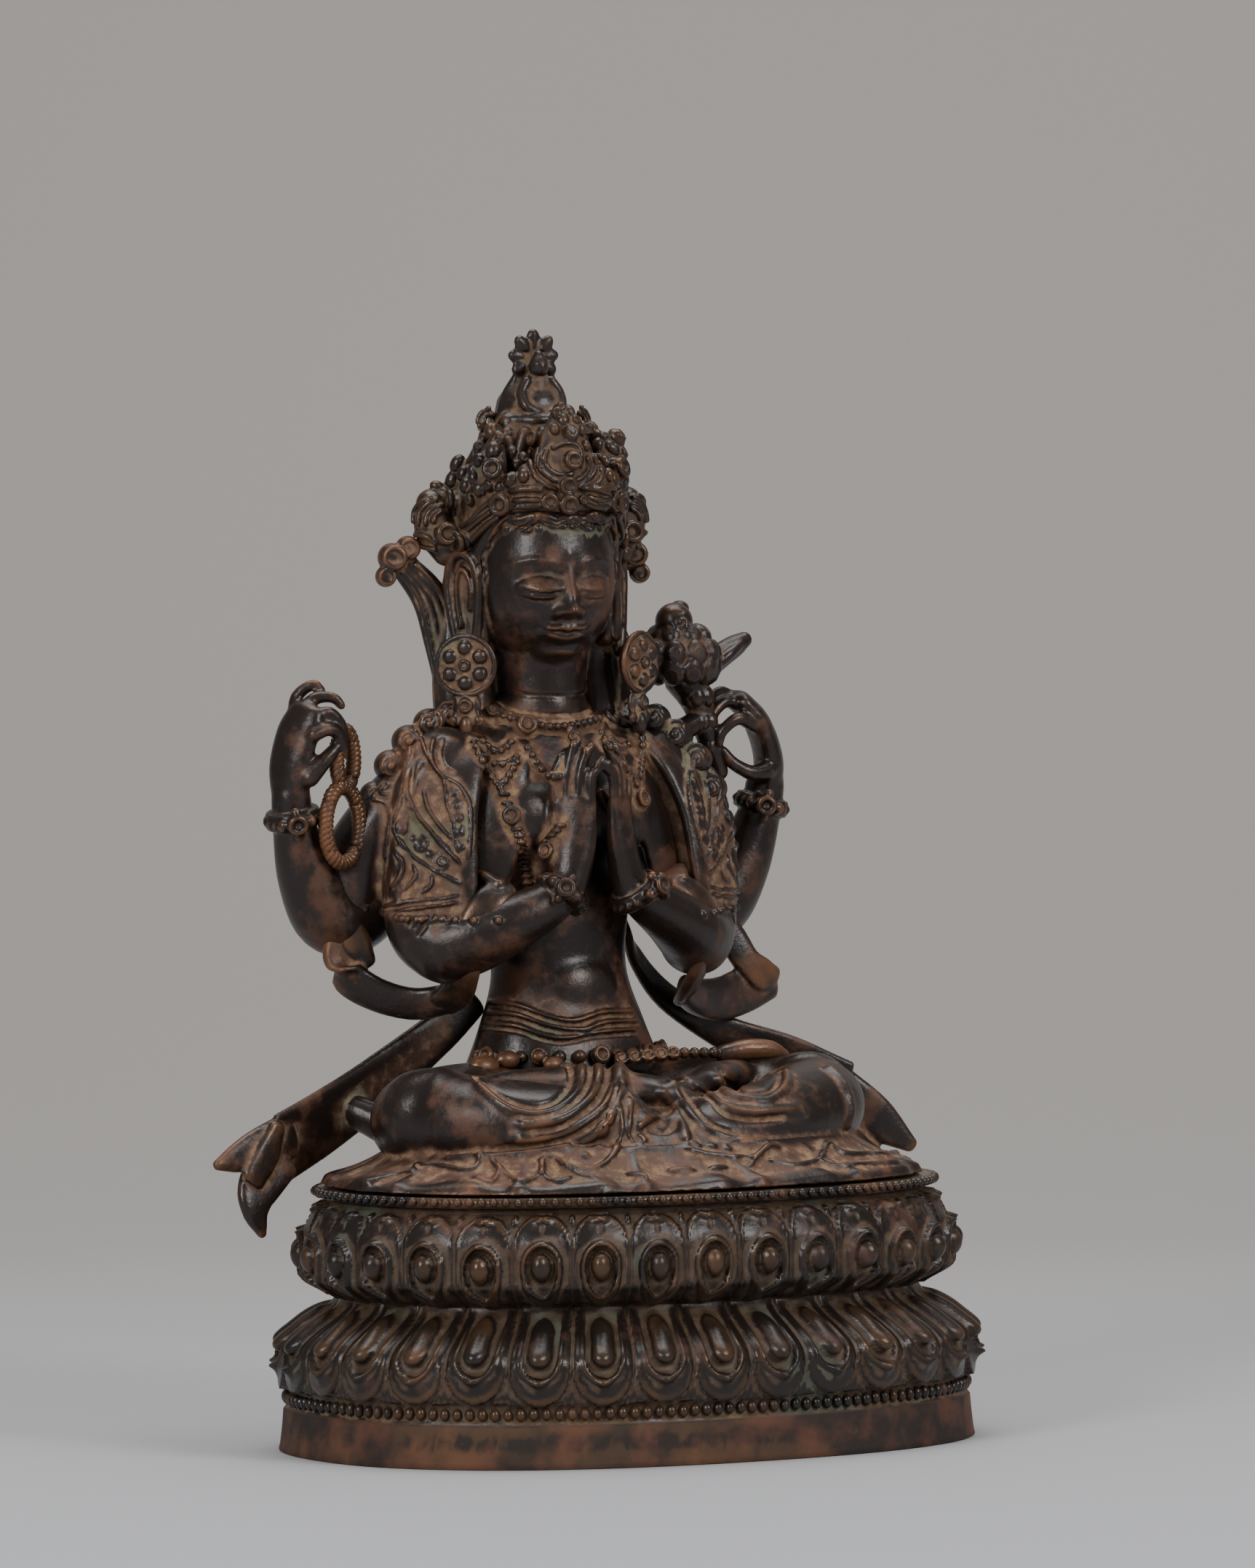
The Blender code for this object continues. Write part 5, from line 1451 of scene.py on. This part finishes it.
# Read in the close-up of the head: the waved locks along the forehead and before the ear.
lockStrands = [
    [(690, 1070), (640, 1080), (590, 1098), (545, 1100)], [(690, 1075), (640, 1096), (600, 1120),
    (550, 1126)],
    [(688, 1080), (645, 1115), (610, 1143), (562, 1150)], [(680, 1085), (655, 1127), (630, 1158),
    (590, 1168)],
    [(670, 1078), (720, 1086), (770, 1104), (805, 1090), (850, 1096)], [(672, 1090), (715, 1108),
    (765, 1126), (805, 1115), (846, 1110)],
    [(675, 1102), (710, 1130), (760, 1150), (806, 1142), (842, 1122)], [(850, 1082), (890, 1092),
    (940, 1106), (990, 1114), (1020, 1106)],
    [(850, 1094), (880, 1113), (930, 1130), (985, 1138), (1014, 1134)], [(850, 1106), (875, 1137),
    (920, 1160), (960, 1156)],
    [(432, 1180), (450, 1150), (490, 1110), (530, 1076)], [(416, 1230), (430, 1190), (462, 1158),
    (500, 1128)],
    [(400, 1290), (394, 1340), (410, 1380), (400, 1430)], [(372, 1290), (370, 1340), (380, 1400)],
]
lockCurls = [(512, 1150, 24), (676, 1150, 22), (845, 1135, 17), (420, 1240, 20), (392, 1400, 26),
    (980, 1150, 18)]


def makeHead():
    forms = newSkin()
    headForms(forms)
    soft = softened("headForms", forms, head["softVoxel"], head["softRounds"])
    shell = meshFrom("headShell", soft)
    carveFace(shell)
    applied(shell, "SMOOTH", factor=0.5, iterations=1)
    soft = newSkin()
    pour(soft, *takeMesh(shell))
    earForms(soft)
    hairForms(soft)
    ribbonForms(soft)
    earringForms(soft)
    # a raised roll of hair between the band and the forehead
    roll = []
    for a in range(-96, 97, 8):
        t = math.radians(-90 + a)
        drop = float(easeStep(48, 86, abs(a))) * 9.0
        roll.append((14.6 * math.cos(t), 33.2 + 15.1 * math.sin(t), 131.4 - drop, 1.7))
    limb(soft, roll, sides=14)
    tree = treeOf(soft)
    for u, v, size in lockCurls:
        spots, normals = seen(tree, headView, [(u, v)], smooth=False, turn=headTurn)
        if len(spots):
            for side in (1, -1):
                spot = spots[0] * (side, 1, 1)
                bead(soft, spot, size * ownScale(headView), normals[0] * (side, 1, 1), 0.7)
    piece = meshFrom("head", soft)
    fuse(piece, head["voxel"], 1, 0.4)
    tree = treeOfPiece(piece)
    lines = []
    for strand in lockStrands:
        spots, _ = seen(tree, headView, strand, turn=headTurn)
        if len(spots) > 1:
            runs = [spots] + ([otherSide(tree, spots)[0]] if spots[:, 0].mean() < -2 else [])
            lines += [(run, head["lockWidth"], head["lockHeight"]) for run in runs]
    relief(piece, lines)

    def dressed(places):  # hair and earrings hold earth, the face none
        x, y, z = np.abs(places[:, 0]), places[:, 1], places[:, 2]
        hair = np.maximum(easeStep(31, 35, y), easeStep(128.5, 130.5, z)) * 0.55
        return np.maximum(hair, easeStep(12.5, 13.5, x) * easeStep(110, 107, z) * 0.9)

    finish(piece, ornateCopper, 135000, turn=headTurn, worked=dressed)


# Crown

crown = {
    "bandHeight": 134.4,
    "bandDrop": 6.5,
    "bandRadius": 16.9,
    "centreY": 33.4,
    "voxel": 0.23,
    "topVoxel": 0.30,
    "jewelShare": 1.18,  # how much larger the jewels and lobes are than their marks in the close-up
    "lobeShare": 1.38,
}
# Read in the close-up of the head: jewels with a pit, lobes of the leaves, raised lines and ropes.
crownJewels = [
    (845, 800, 44), (820, 925, 46), (665, 690, 40), (450, 850, 52), (250, 1000, 50), (195, 1180, 55), (290,
    1210, 50),
    (490, 1025, 55), (730, 1010, 42), (825, 1025, 48), (895, 1005, 22), (1045, 1015, 44), (1080, 860,
    30), (1000, 780, 24),
]
crownLobes = [
    (835, 665, 36), (800, 595, 28), (768, 560, 24), (828, 552, 28), (858, 600, 26), (888, 640, 26), (938,
    680, 28), (758, 640, 22),
    (790, 530, 22), (985, 720, 26), (915, 725, 20), (445, 750, 36), (370, 740, 30), (515, 715, 32), (435,
    660, 40), (400, 690, 24),
    (475, 690, 24), (540, 770, 32), (592, 792, 28), (560, 830, 24), (375, 800, 28), (340, 850, 24), (545,
    905, 34), (480, 940, 24),
    (425, 925, 26), (600, 880, 26), (225, 900, 36), (252, 815, 36), (200, 850, 30), (292, 868, 30), (158,
    930, 30), (305, 930, 28),
    (182, 975, 26), (345, 890, 26), (330, 1000, 26), (372, 950, 26), (1070, 690, 38), (1040, 735,
    28), (1092, 770, 30), (1020, 810, 26),
    (1060, 820, 28), (1102, 900, 32), (1072, 945, 26), (985, 850, 26), (1110, 1150, 36), (1135, 1210,
    32), (1085, 1232, 32),
    (1115, 1285, 30), (1062, 1180, 26), (1060, 1290, 26), (1095, 1010, 28), (1080, 1070, 26),
]
crownLines = [
    [(640, 745), (630, 800), (650, 870), (700, 922), (765, 946)], [(680, 770), (680, 830), (720, 882),
    (776, 906)],
    [(718, 745), (706, 800), (735, 850), (790, 872), (850, 866)], [(957, 770), (966, 840), (930, 900),
    (872, 936)],
    [(925, 785), (930, 832), (900, 880), (862, 902)], [(745, 738), (800, 714), (868, 724), (893, 780),
    (886, 832)],
    [(60, 1130), (70, 1070), (100, 1030), (150, 1000)], [(95, 1130), (105, 1080), (140, 1045), (182, 1030)],
    [(132, 1120), (142, 1086), (172, 1062)], [(38, 1120), (44, 1060), (78, 1012), (122, 992)], [(36, 1180),
    (100, 1190), (150, 1226)],
    [(34, 1220), (90, 1242), (150, 1256)], [(380, 640), (372, 590), (398, 545), (430, 530)], [(405, 640),
    (402, 590), (430, 550)],
    [(432, 640), (436, 590), (455, 565)], [(320, 975), (350, 940), (400, 930), (395, 970)],
]
crownRopes = [
    [(520, 965), (570, 950), (630, 944), (690, 946)], [(560, 1036), (620, 1031), (690, 1026)], [(925, 940),
    (972, 946), (1026, 964)],
    [(912, 1022), (960, 1036), (1012, 1042)], [(500, 975), (440, 1010), (388, 1052), (338, 1112),
    (288, 1152)],
    [(470, 1082), (428, 1112), (388, 1152), (338, 1204)],
]
crownBars = [[(550, 1004), (612, 999), (682, 997)], [(432, 1062), (380, 1104), (318, 1156)],
    [(930, 985), (975, 995), (1010, 1000)]]


def bandSpot(angle, reach=0.0, lift=0.0):
    a = math.radians(-90 + angle)
    z = crown["bandHeight"] - crown["bandDrop"] * float(easeStep(48, 84, abs(angle))) + lift
    r = crown["bandRadius"] + reach
    return np.array((r * math.cos(a) * 0.97, crown["centreY"] + r * math.sin(a), z))


def bandForms(skin):
    strip = [(*bandSpot(a, -0.9, 0), 2.6, 1.4) for a in np.linspace(-112, 112, 26)]
    sweep(skin, strip, side=(0, 0, 1), sides=14, steps=3)
    ball(skin, (0, crown["centreY"] + 1, 133.5), (15.4, 15.6, 6.0))


def leafFrame(root):  # outwards, along the band and up, at a place on it
    out = unit((root - np.array((0, crown["centreY"], root[2]))) * np.array((1, 1, 0)))
    return out, np.array((-out[1], out[0], 0)), np.array((0, 0, 1.0))


def leafPlate(skin, angle, tall, wide, lean=2.6):
    root = bandSpot(angle, -1.6, 1.2)
    out, side, up = leafFrame(root)
    plate = [
        (*root, wide * 0.85, 1.7), (*(root + out * 0.6 + up * tall * 0.38), wide, 1.7),
        (*(root - out * lean * 0.3 + up * tall * 0.70), wide * 0.72,
        1.5), (*(root - out * lean + up * tall * 0.97), wide * 0.25, 1.1),
    ]
    sweep(skin, plate, side=side, sides=18)


def crownLeaf(skin, angle, tall, wide):
    # a leaf of the crown's far sides: a ringed jewel, scrolls beside it and a tuft at its tip
    leafPlate(skin, angle, tall, wide)
    root = bandSpot(angle, 0.2, 1.8)
    out, side, up = leafFrame(root)
    facing = out + up * 0.12
    middle = root + out * 1.6 + up * tall * 0.36
    hoop(skin, middle, facing, wide * 0.50, 0.7, 26)
    boss(skin, middle + out * 0.5, facing, wide * 0.30)
    for turn in (-1, 1):
        for high, size in ((0.06, 0.26), (0.36, 0.20), (0.62, 0.24)):
            spot = root + out * 1.0 + side * turn * wide * (0.80 - high * 0.3) + up * tall * high
            bead(skin, spot, wide * size, facing, 0.7)
            spiral(skin, spot + out * 0.5, facing, wide * size * 0.8, 1.2, 90, turn, 0.35)
        bead(skin, root - out * 0.6 + side * turn * wide * 0.26 + up * tall * 0.84, wide * 0.2, facing)
    bead(skin, root - out * 0.2 + up * tall * 0.74, wide * 0.24, facing)
    bead(skin, root - out * 1.6 + up * tall * 0.95, wide * 0.22, facing, 0.8, (0.8, 1.3))


def crownForms(skin):
    leafPlate(skin, 0, 18.0, 6.4)
    for side in (-1, 1):
        leafPlate(skin, side * 61, 14.6, 4.8)
        leafPlate(skin, side * 88, 17.5, 4.8)
        ball(skin, bandSpot(side * 28, -1.5, 3.0), (3.6, 3.0, 5.0))
        limb(skin, [(side * 18.6, 36, 124.6, 3.2), (side * 20.6, 37.4, 129.4, 4.2),
            (side * 21.2, 37.8, 134.0, 3.2)], sides=16)
        ball(skin, bandSpot(side * 22, -1.0, 3.0), (3.4, 3.0, 3.8))


def crownDress(skin, tree):
    # what was read in the close-up, laid on, and laid on the far side again
    scale = ownScale(headView)

    def places(points, smooth):
        spots, normals = seen(tree, headView, points, smooth=smooth, turn=headTurn, reach=2.5)
        if not len(spots):
            return []
        found = [(spots, normals)]
        if spots[:, 0].mean() < -5:
            found.append((spots * (-1, 1, 1), normals * (-1, 1, 1)))
        return found

    for u, v, size in crownJewels:
        for spots, normals in places([(u, v)], False):
            boss(skin, spots[0] + normals[0] * 0.75, normals[0], size * scale * crown["jewelShare"])
    for i, (u, v, size) in enumerate(crownLobes):
        for spots, normals in places([(u, v)], False):
            wide = size * scale * crown["lobeShare"]
            bead(skin, spots[0] + normals[0] * 0.3, wide, normals[0], 0.8, (0.9, 1.12))
            if i % 2 == 0:
                hoop(skin, spots[0] + normals[0] * (0.3 + wide * 0.62), normals[0], wide * 0.5, wide * 0.24,
                    14, 6)
    for group, lay in (
        (crownLines, lambda spots, normals: wire(skin, spots + normals * 0.35, 0.58)),
        (crownRopes, lambda spots, normals: rope(skin, spots + normals * 0.45, 0.75, 2.2, 3, 0.5)),
        (crownBars, lambda spots, normals: wire(skin, spots + normals * 0.4, 0.65)),
    ):
        for points in group:
            for spots, normals in places(points, True):
                if len(spots) > 2:
                    lay(spots, normals)


def topknotForms(skin):
    limb(skin, [(0, 36.5, 131, 13.4), (0, 36.5, 140, 11.2), (0, 36, 147, 9.6), (0, 36, 152, 7.6)], sides=30)
    for step in range(16):  # locks that wind a little as they rise: radius, turn, depth, height, thickness
        winds = ((12.6, 0.0, 36.5, 133, 1.6), (11.2, 0.12, 36.5, 141, 1.6), (9.4, 0.25, 36, 148, 1.5))
        a = step / 16 * math.tau
        lock = [(r * math.cos(a + w), y + r * math.sin(a + w), z, size) for r, w, y, z, size in winds]
        limb(skin, lock, sides=8)
    for side in (-1, 1):
        for k in range(4):
            shell = [(side * (9.4 + k * 0.5), 34.5 - k, 149.8 - k * 0.6),
                (side * (10.4 - k * 0.2), 33.6 - k, 146.4 - k * 0.5), (side * (9.4 - k * 0.8), 33 - k,
                143.8)]
            limb(skin, [(*p, 0.75) for p in shell], sides=8)


def crownBuddhaForms(skin):
    # a small seated figure before a fan of leaves, on top of the topknot
    ball(skin, (0, 33.0, 149.4), (7.0, 6.0, 2.4))
    for side in (-1, 1):
        limb(skin, [(side * 5.4, 31.2, 150.8, 1.5), (side * 2.2, 28.2, 150.6, 1.45),
            (-side * 1.4, 27.8, 151.0, 1.1)], sides=12)
        arm = [(side * 2.6, 31.8, 158.6, 1.15), (side * 4.0, 31.0, 156.2, 1.15),
            (side * 3.7, 29.2, 153.4, 1.1), (side * 1.0, 28.5, 152.2, 0.9)]
        limb(skin, arm, sides=12)
        ray = [(side * 3.6, 35.0, 159.2, 1.1), (side * 5.2, 35.4, 155.8, 1.5),
            (side * 6.4, 35.6, 152.6, 1.3)]
        limb(skin, ray, sides=10)
        ball(skin, (side * 6.4, 32.4, 150.2), (2.2, 2.2, 2.2))
    sweep(skin, [(0, 32.4, 150, 2.8, 2.3), (0, 32.2, 155, 2.6, 2.0), (0, 32.6, 158.4, 2.9, 1.9)], sides=18)
    ball(skin, (0, 31.8, 161.6), (2.05, 2.1, 2.4))
    ball(skin, (0, 31.9, 164.0), (1.0, 1.0, 0.9))
    ball(skin, (0, 29.8, 161.4), (0.4, 0.45, 0.7), form=beadForm)
    for side in (-1, 1):
        ball(skin, (side * 0.8, 29.95, 162.0), (0.5, 0.3, 0.25), form=beadForm)
    ball(skin, (0, 30.0, 160.4), (0.65, 0.35, 0.22), form=beadForm)
    ball(skin, (0, 34.8, 162.4), (3.4, 0.9, 3.6))
    for step in range(7):
        a = math.radians(-28 + 236 * step / 6)
        reach = 3.4 + 0.9 * max(0, math.sin(a))
        way = np.array((math.cos(a), 0.0, math.sin(a)))
        middle = np.array((0.0, 34.4 + 0.4 * (step % 2), 162.9))
        ball(skin, middle + way * reach, (1.5, 0.95, 2.05), turn=(0, 90 - math.degrees(a), 0))
        limb(skin, [(*(middle + way * 2.6 + (0, -0.75, 0)), 0.35), (*(middle + way * (reach + 1.3) + (0,
            -0.75, 0)), 0.3)], sides=8)


def makeCrown():
    rising = newSkin()
    topknotForms(rising)
    crownBuddhaForms(rising)
    top = softened("topknotForms", rising, 0.36, 2)
    forms = newSkin()
    bandForms(forms)
    crownForms(forms)
    soft = softened("crownForms", forms, 0.42, 2)
    whole = newSkin()
    for skin in (soft, top):
        pour(whole, np.vstack(skin["points"]), np.vstack(skin["faces"]))
    crownDress(soft, treeOf(whole))
    for angle, tall, wide in ((128, 10.0, 5.0), (-128, 10.0, 5.0), (180, 11.0, 5.6)):
        crownLeaf(soft, angle, tall, wide)
    for angle in range(-104, -175, -14):
        for side in (-1, 1):
            spot = bandSpot(side * angle, 0.7, 0)
            boss(soft, spot, (spot - np.array((0, crown["centreY"], spot[2]))), 1.7)
    piece = meshFrom("crown", soft)
    fuse(piece, crown["voxel"], 1, 0.3)
    finish(piece, crownCopper, 165000, turn=headTurn, worked=0.45)
    piece = meshFrom("topknot", top)
    fuse(piece, crown["topVoxel"], 1, 0.3)
    finish(piece, crownCopper, 50000, turn=headTurn, worked=0.6)


# Scarf: over the forearms, in loops behind the elbows and out to tails beside the knees

scarf = {"voxel": 0.40, "rounds": 3}


def scarfForms(skin):
    for side in (-1, 1):
        over = [(side * 19.6, 13.5, 58.0, 3.0, 1.2), (side * 24.0, 12.2, 55.0, 3.2, 1.2),
            (side * 27.4, 13.2, 49, 3.4, 1.3),
                (side * 27.6, 16.0, 42, 3.4, 1.3), (side * 27.2, 20, 37, 3.6, 1.4), (side * 28, 24, 34.4,
                3.4, 1.4)]
        sweep(skin, over, side=(side * 0.8, 0.5, 0.3), sides=20, power=3)
        behind = [(side * 19.6, 13.5, 58.0, 3.0, 1.2), (side * 21.4, 17.4, 59.4, 3.0, 1.2),
            (side * 22.6, 22, 57.4, 3.0, 1.2)]
        sweep(skin, behind, side=(side * 0.9, 0.2, 0.4), sides=18, power=3)
    loop = [(-27, 23, 35.4, 3.2, 1.5), (-32.5, 28, 34.4, 3.4, 1.5), (-39, 32, 36.4, 3.6, 1.5),
        (-44.6, 34.4, 40.6, 3.8, 1.6),
            (-45.6, 35, 46, 3.4, 1.6), (-42, 35, 51, 3.4, 1.7), (-38, 35, 55, 3.4, 1.7)]
    sweep(skin, loop, side=(-0.5, 0.0, 0.9), sides=20, power=3)
    flap = [(-45.0, 33.6, 52.4, 2.4, 1.3), (-43.0, 33.2, 47.4, 3.2, 1.4), (-40.6, 33.4, 42.6, 2.4, 1.3)]
    sweep(skin, flap, side=(0.8, -0.3, 0.4), sides=16, power=3)
    end = [(27, 23, 35.4, 3.2, 1.5), (33, 28, 33.6, 3.8, 1.5), (40.5, 31.4, 32.8, 4.6, 1.5),
        (48, 33.2, 34.4, 4.8, 1.4), (54.4, 34.0, 35.4, 3.2, 1.2)]
    sweep(skin, end, side=(0.2, 0.0, 0.9), sides=20, power=3)
    turn = [(54.0, 33.0, 36.4, 2.6, 1.2), (50.4, 31.8, 37.6, 3.4, 1.3), (47.0, 31.8, 40.4, 3.0, 1.3),
        (44.4, 33.2, 45.0, 3.2, 1.5), (40, 35, 51.5, 3.6, 1.7)]
    sweep(skin, turn, side=(0.6, 0.0, 0.8), sides=20, power=3)


def tailForms(skin):
    wide = [(-15, 35, 34, 3.2, 1.25), (-24, 36, 26.8, 4.6, 1.25), (-37, 34.4, 18.6, 6.2, 1.25),
        (-51, 30.6, 11.8, 7.2, 1.25), (-64, 26.4, 6.6, 7.8, 1.1)]
    sweep(skin, wide, side=(0.4, 0.0, 0.9), sides=22, power=3)
    first = [(-62, 26.4, 9.4, 4.6, 1.5), (-70, 24.2, 7.2, 4.0, 1.4), (-76, 22.9, 5.4, 2.8, 1.2),
        (-80.4, 22, 4.4, 1.1, 0.9)]
    sweep(skin, first, side=(0.4, 0.2, 0.9), sides=18, power=3)
    second = [(-65, 25.6, 5.0, 5.0, 1.5), (-70.4, 23.6, -0.5, 4.6, 1.5), (-71.8, 22.4, -5.0, 3.2, 1.3),
        (-70.6, 22, -9.6, 1.0, 0.9)]
    sweep(skin, second, side=(0.9, 0.2, 0.5), sides=18, power=3)
    pleat = [(-66, 23.6, 11.4, 1.8, 1.0), (-69, 22.6, 6.0, 3.0, 1.1), (-72.6, 21.8, 1.2, 2.6, 1.0)]
    sweep(skin, pleat, side=(0.8, 0.1, -0.5), sides=14, power=3)
    narrow = [(18, 33, 50, 2.2, 1.2), (22.6, 35, 42, 2.5, 1.2), (30.6, 36.5, 33.5, 2.8, 1.2),
        (43.6, 36, 25.8, 3.6, 1.2),
              (56, 32, 20, 5.2, 1.2), (66, 27.5, 13.8, 6.4, 1.2)]
    sweep(skin, narrow, side=(-0.4, 0.0, 0.9), sides=20, power=3)
    sweep(skin, [(65, 28, 13.8, 5.4, 1.5), (73, 24.5, 7.4, 4.6, 1.4), (80, 22, 1.8, 1.6, 1.0)],
        side=(-0.5, 0.2, 0.9), sides=18, power=3)
    sweep(skin, [(66, 27, 7.4, 4.8, 1.5), (71, 23.5, 1.0, 3.8, 1.4), (72.4, 22, -3.6, 1.4, 1.0)],
        side=(0.9, 0.2, -0.5), sides=18, power=3)
    limb(skin, [(-36, 22, 8, 4.5), (-44, 30.6, 13, 3.4)], sides=14)
    limb(skin, [(36, 22, 8, 4.5), (48, 31.6, 19, 3.4)], sides=14)


def makeScarf():
    skin = newSkin()
    scarfForms(skin)
    tailForms(skin)
    piece = meshFrom("scarf", skin)
    fuse(piece, scarf["voxel"], scarf["rounds"])
    finish(piece, ornateCopper, 40000, worked=0.7)


belt = {"beads": 15, "voxel": 0.28, "jewelRadius": 2.0, "beadRadius": 1.45, "strandPitch": 2.7}


def makeBelt():
    # jewelled belt round the hips and the strand that lies along the lap
    skin = newSkin()
    for step in range(belt["beads"]):
        a = math.radians(-174 + 168 * step / (belt["beads"] - 1))
        spot = np.array((20.6 * math.cos(a), 25 + 14.6 * math.sin(a), 23.6))
        out = np.array((math.cos(a), math.sin(a), 0.35))
        if step % 3 == 1:
            boss(skin, spot + unit(out) * 0.6, out, belt["jewelRadius"])
        else:
            bead(skin, spot, belt["beadRadius"], out)
    strand = [(4, 8.5, 22.8), (9, 6, 23.4), (15, 5, 23.8), (21, 6, 23.6), (27, 7.5, 23.4)]
    line = evenLine(smoothLine(strand), belt["strandPitch"])
    for i, spot in enumerate(line):
        if i < 5:
            boss(skin, spot, (-0.2, -0.7, 0.6), 1.55)
        else:
            bead(skin, spot, 1.2, (0, -0.6, 0.8))
    limb(skin, [(27, 7.4, 23.2, 1.8), (32, 6.6, 23.8, 2.2), (37, 6.0, 23.6, 2.0), (40, 5.6, 22.6, 1.2)],
        sides=14)
    for x, y, z, size in ((-19, 14, 23.4, 2.2), (-25, 13, 22.2, 2.8), (-11.5, 8.5, 22.4, 1.9),
            (-9.2, 7.6, 21.4, 1.6), (-14, 10, 24.0, 1.4)):
        bead(skin, (x, y, z), size, (0, -0.7, 0.6), 0.8, (1.25, 0.9))
    piece = meshFrom("belt", skin)
    fuse(piece, belt["voxel"], 1, 0.4)
    finish(piece, ornateCopper, 30000, worked=0.9)


for stage, make in (
    ("lotus base", makeLotusBase), ("bead rims", makeRimBeads), ("skirt", makeSkirt), ("trunk", makeTrunk),
    ("rear arms", makeRearArms), ("head", makeHead), ("crown", makeCrown), ("scarf", makeScarf), ("belt",
    makeBelt),
):
    make()
    print(stage, "done")


# Floor, backdrop and light

studio = {
    "floorColour": "#b4b5b8",
    # the wall is the same paper as the floor, given a darker, warmer colour: painted shade where less light
    # reaches it
    "shadedWallColour": "#9c9894",
    "worldColour": "#cfcfd2",
    "worldStrength": 0.40,
    "bend": 0.9,  # m, the sweep from floor to wall
    "floorBehind": 0.55,
    "wallHeight": 3.2,
    "width": 7.0,
}


def makeBackdrop():
    # one sheet of paper: a floor that sweeps up behind the statue into a wall
    bend, floorBehind, rise, width = (studio[key] for key in ("bend", "floorBehind", "wallHeight", "width"))
    profile = [(-3.5, 0.0)] + [(back, 0.0) for back in np.linspace(-0.4, floorBehind, 12)]
    profile += [(floorBehind + bend * math.sin(t), bend * (1 - math.cos(t))) for t in np.linspace(0.05,
        math.pi / 2, 24)]
    profile.append((floorBehind + bend, rise))
    turn = Matrix.Rotation(math.radians(photoCamera["azimuth"]), 3, "Z")
    points, faces = [], []
    for back, up in profile:
        for side in (-width / 2, width / 2):
            points.append(tuple(turn @ Vector((side, back, up))))
    for i in range(len(profile) - 1):
        faces.append((2 * i, 2 * i + 1, 2 * i + 3, 2 * i + 2))
    mesh = bpy.data.meshes.new("paperSweep")
    mesh.from_pydata(points, [], faces)
    mesh.shade_smooth()
    sheet = bpy.data.objects.new("paperSweep", mesh)
    bpy.context.collection.objects.link(sheet)
    material = bpy.data.materials.new("matt grey paper")
    material.use_nodes = True
    tree = material.node_tree
    shader = tree.nodes["Principled BSDF"]
    # painted shade: along the sheet the colour runs from the floor's to the darker wall colour as the paper
    # rises behind the statue
    attribute = mesh.attributes.new("behind", "FLOAT", "POINT")
    attribute.data.foreach_set("value", [float(easeStep(-0.3, 0.9, back)) for back,
        up in profile for side in (0, 1)])
    behind = addNode(tree, "ShaderNodeAttribute", {"attribute_name": "behind"}).outputs["Fac"]
    settings = {"data_type": "RGBA", 6: linear(studio["floorColour"]), 7: linear(studio["shadedWallColour"])}
    mix = addNode(tree, "ShaderNodeMix", settings, {0: behind})
    tree.links.new(mix.outputs[2], shader.inputs["Base Color"])
    shader.inputs["Roughness"].default_value = 0.8
    # the paper is clear from its back, so that the statue can be looked at from behind
    clear = addNode(tree, "ShaderNodeBsdfTransparent").outputs[0]
    side = addNode(tree, "ShaderNodeNewGeometry").outputs["Backfacing"]
    both = addNode(tree, "ShaderNodeMixShader", None, {0: side, 1: shader.outputs[0], 2: clear})
    tree.links.new(both.outputs[0], tree.nodes["Material Output"].inputs["Surface"])
    mesh.materials.append(material)


def softbox(name, spot, size, power, aim=(0, 0, 0.11)):
    bpy.ops.object.light_add(type="AREA", location=spot)
    light = bpy.context.object
    light.name = name
    light.data.shape = "RECTANGLE"
    light.data.size, light.data.size_y = size
    light.data.energy = power
    light.rotation_euler = (Vector(aim) - Vector(spot)).to_track_quat("-Z", "Y").to_euler()


makeBackdrop()
softbox("leftBox", (-1.30, -0.65, 0.80), (0.45, 0.65), 13)
softbox("rightBox", (0.45, -1.35, 0.95), (0.5, 0.7), 13)
softbox("topBox", (0.1, 0.3, 1.4), (1.0, 1.0), 9)
softbox("wallBox", (0.3, 0.1, 1.9), (1.6, 0.8), 13, aim=(0.75, 1.3, 0.55))
world = bpy.data.worlds.new("studio")
world.use_nodes = True
sky = world.node_tree.nodes["Background"].inputs
sky["Color"].default_value = linear(studio["worldColour"])
sky["Strength"].default_value = studio["worldStrength"]
bpy.context.scene.world = world
print("studio ready")

deselectAll()
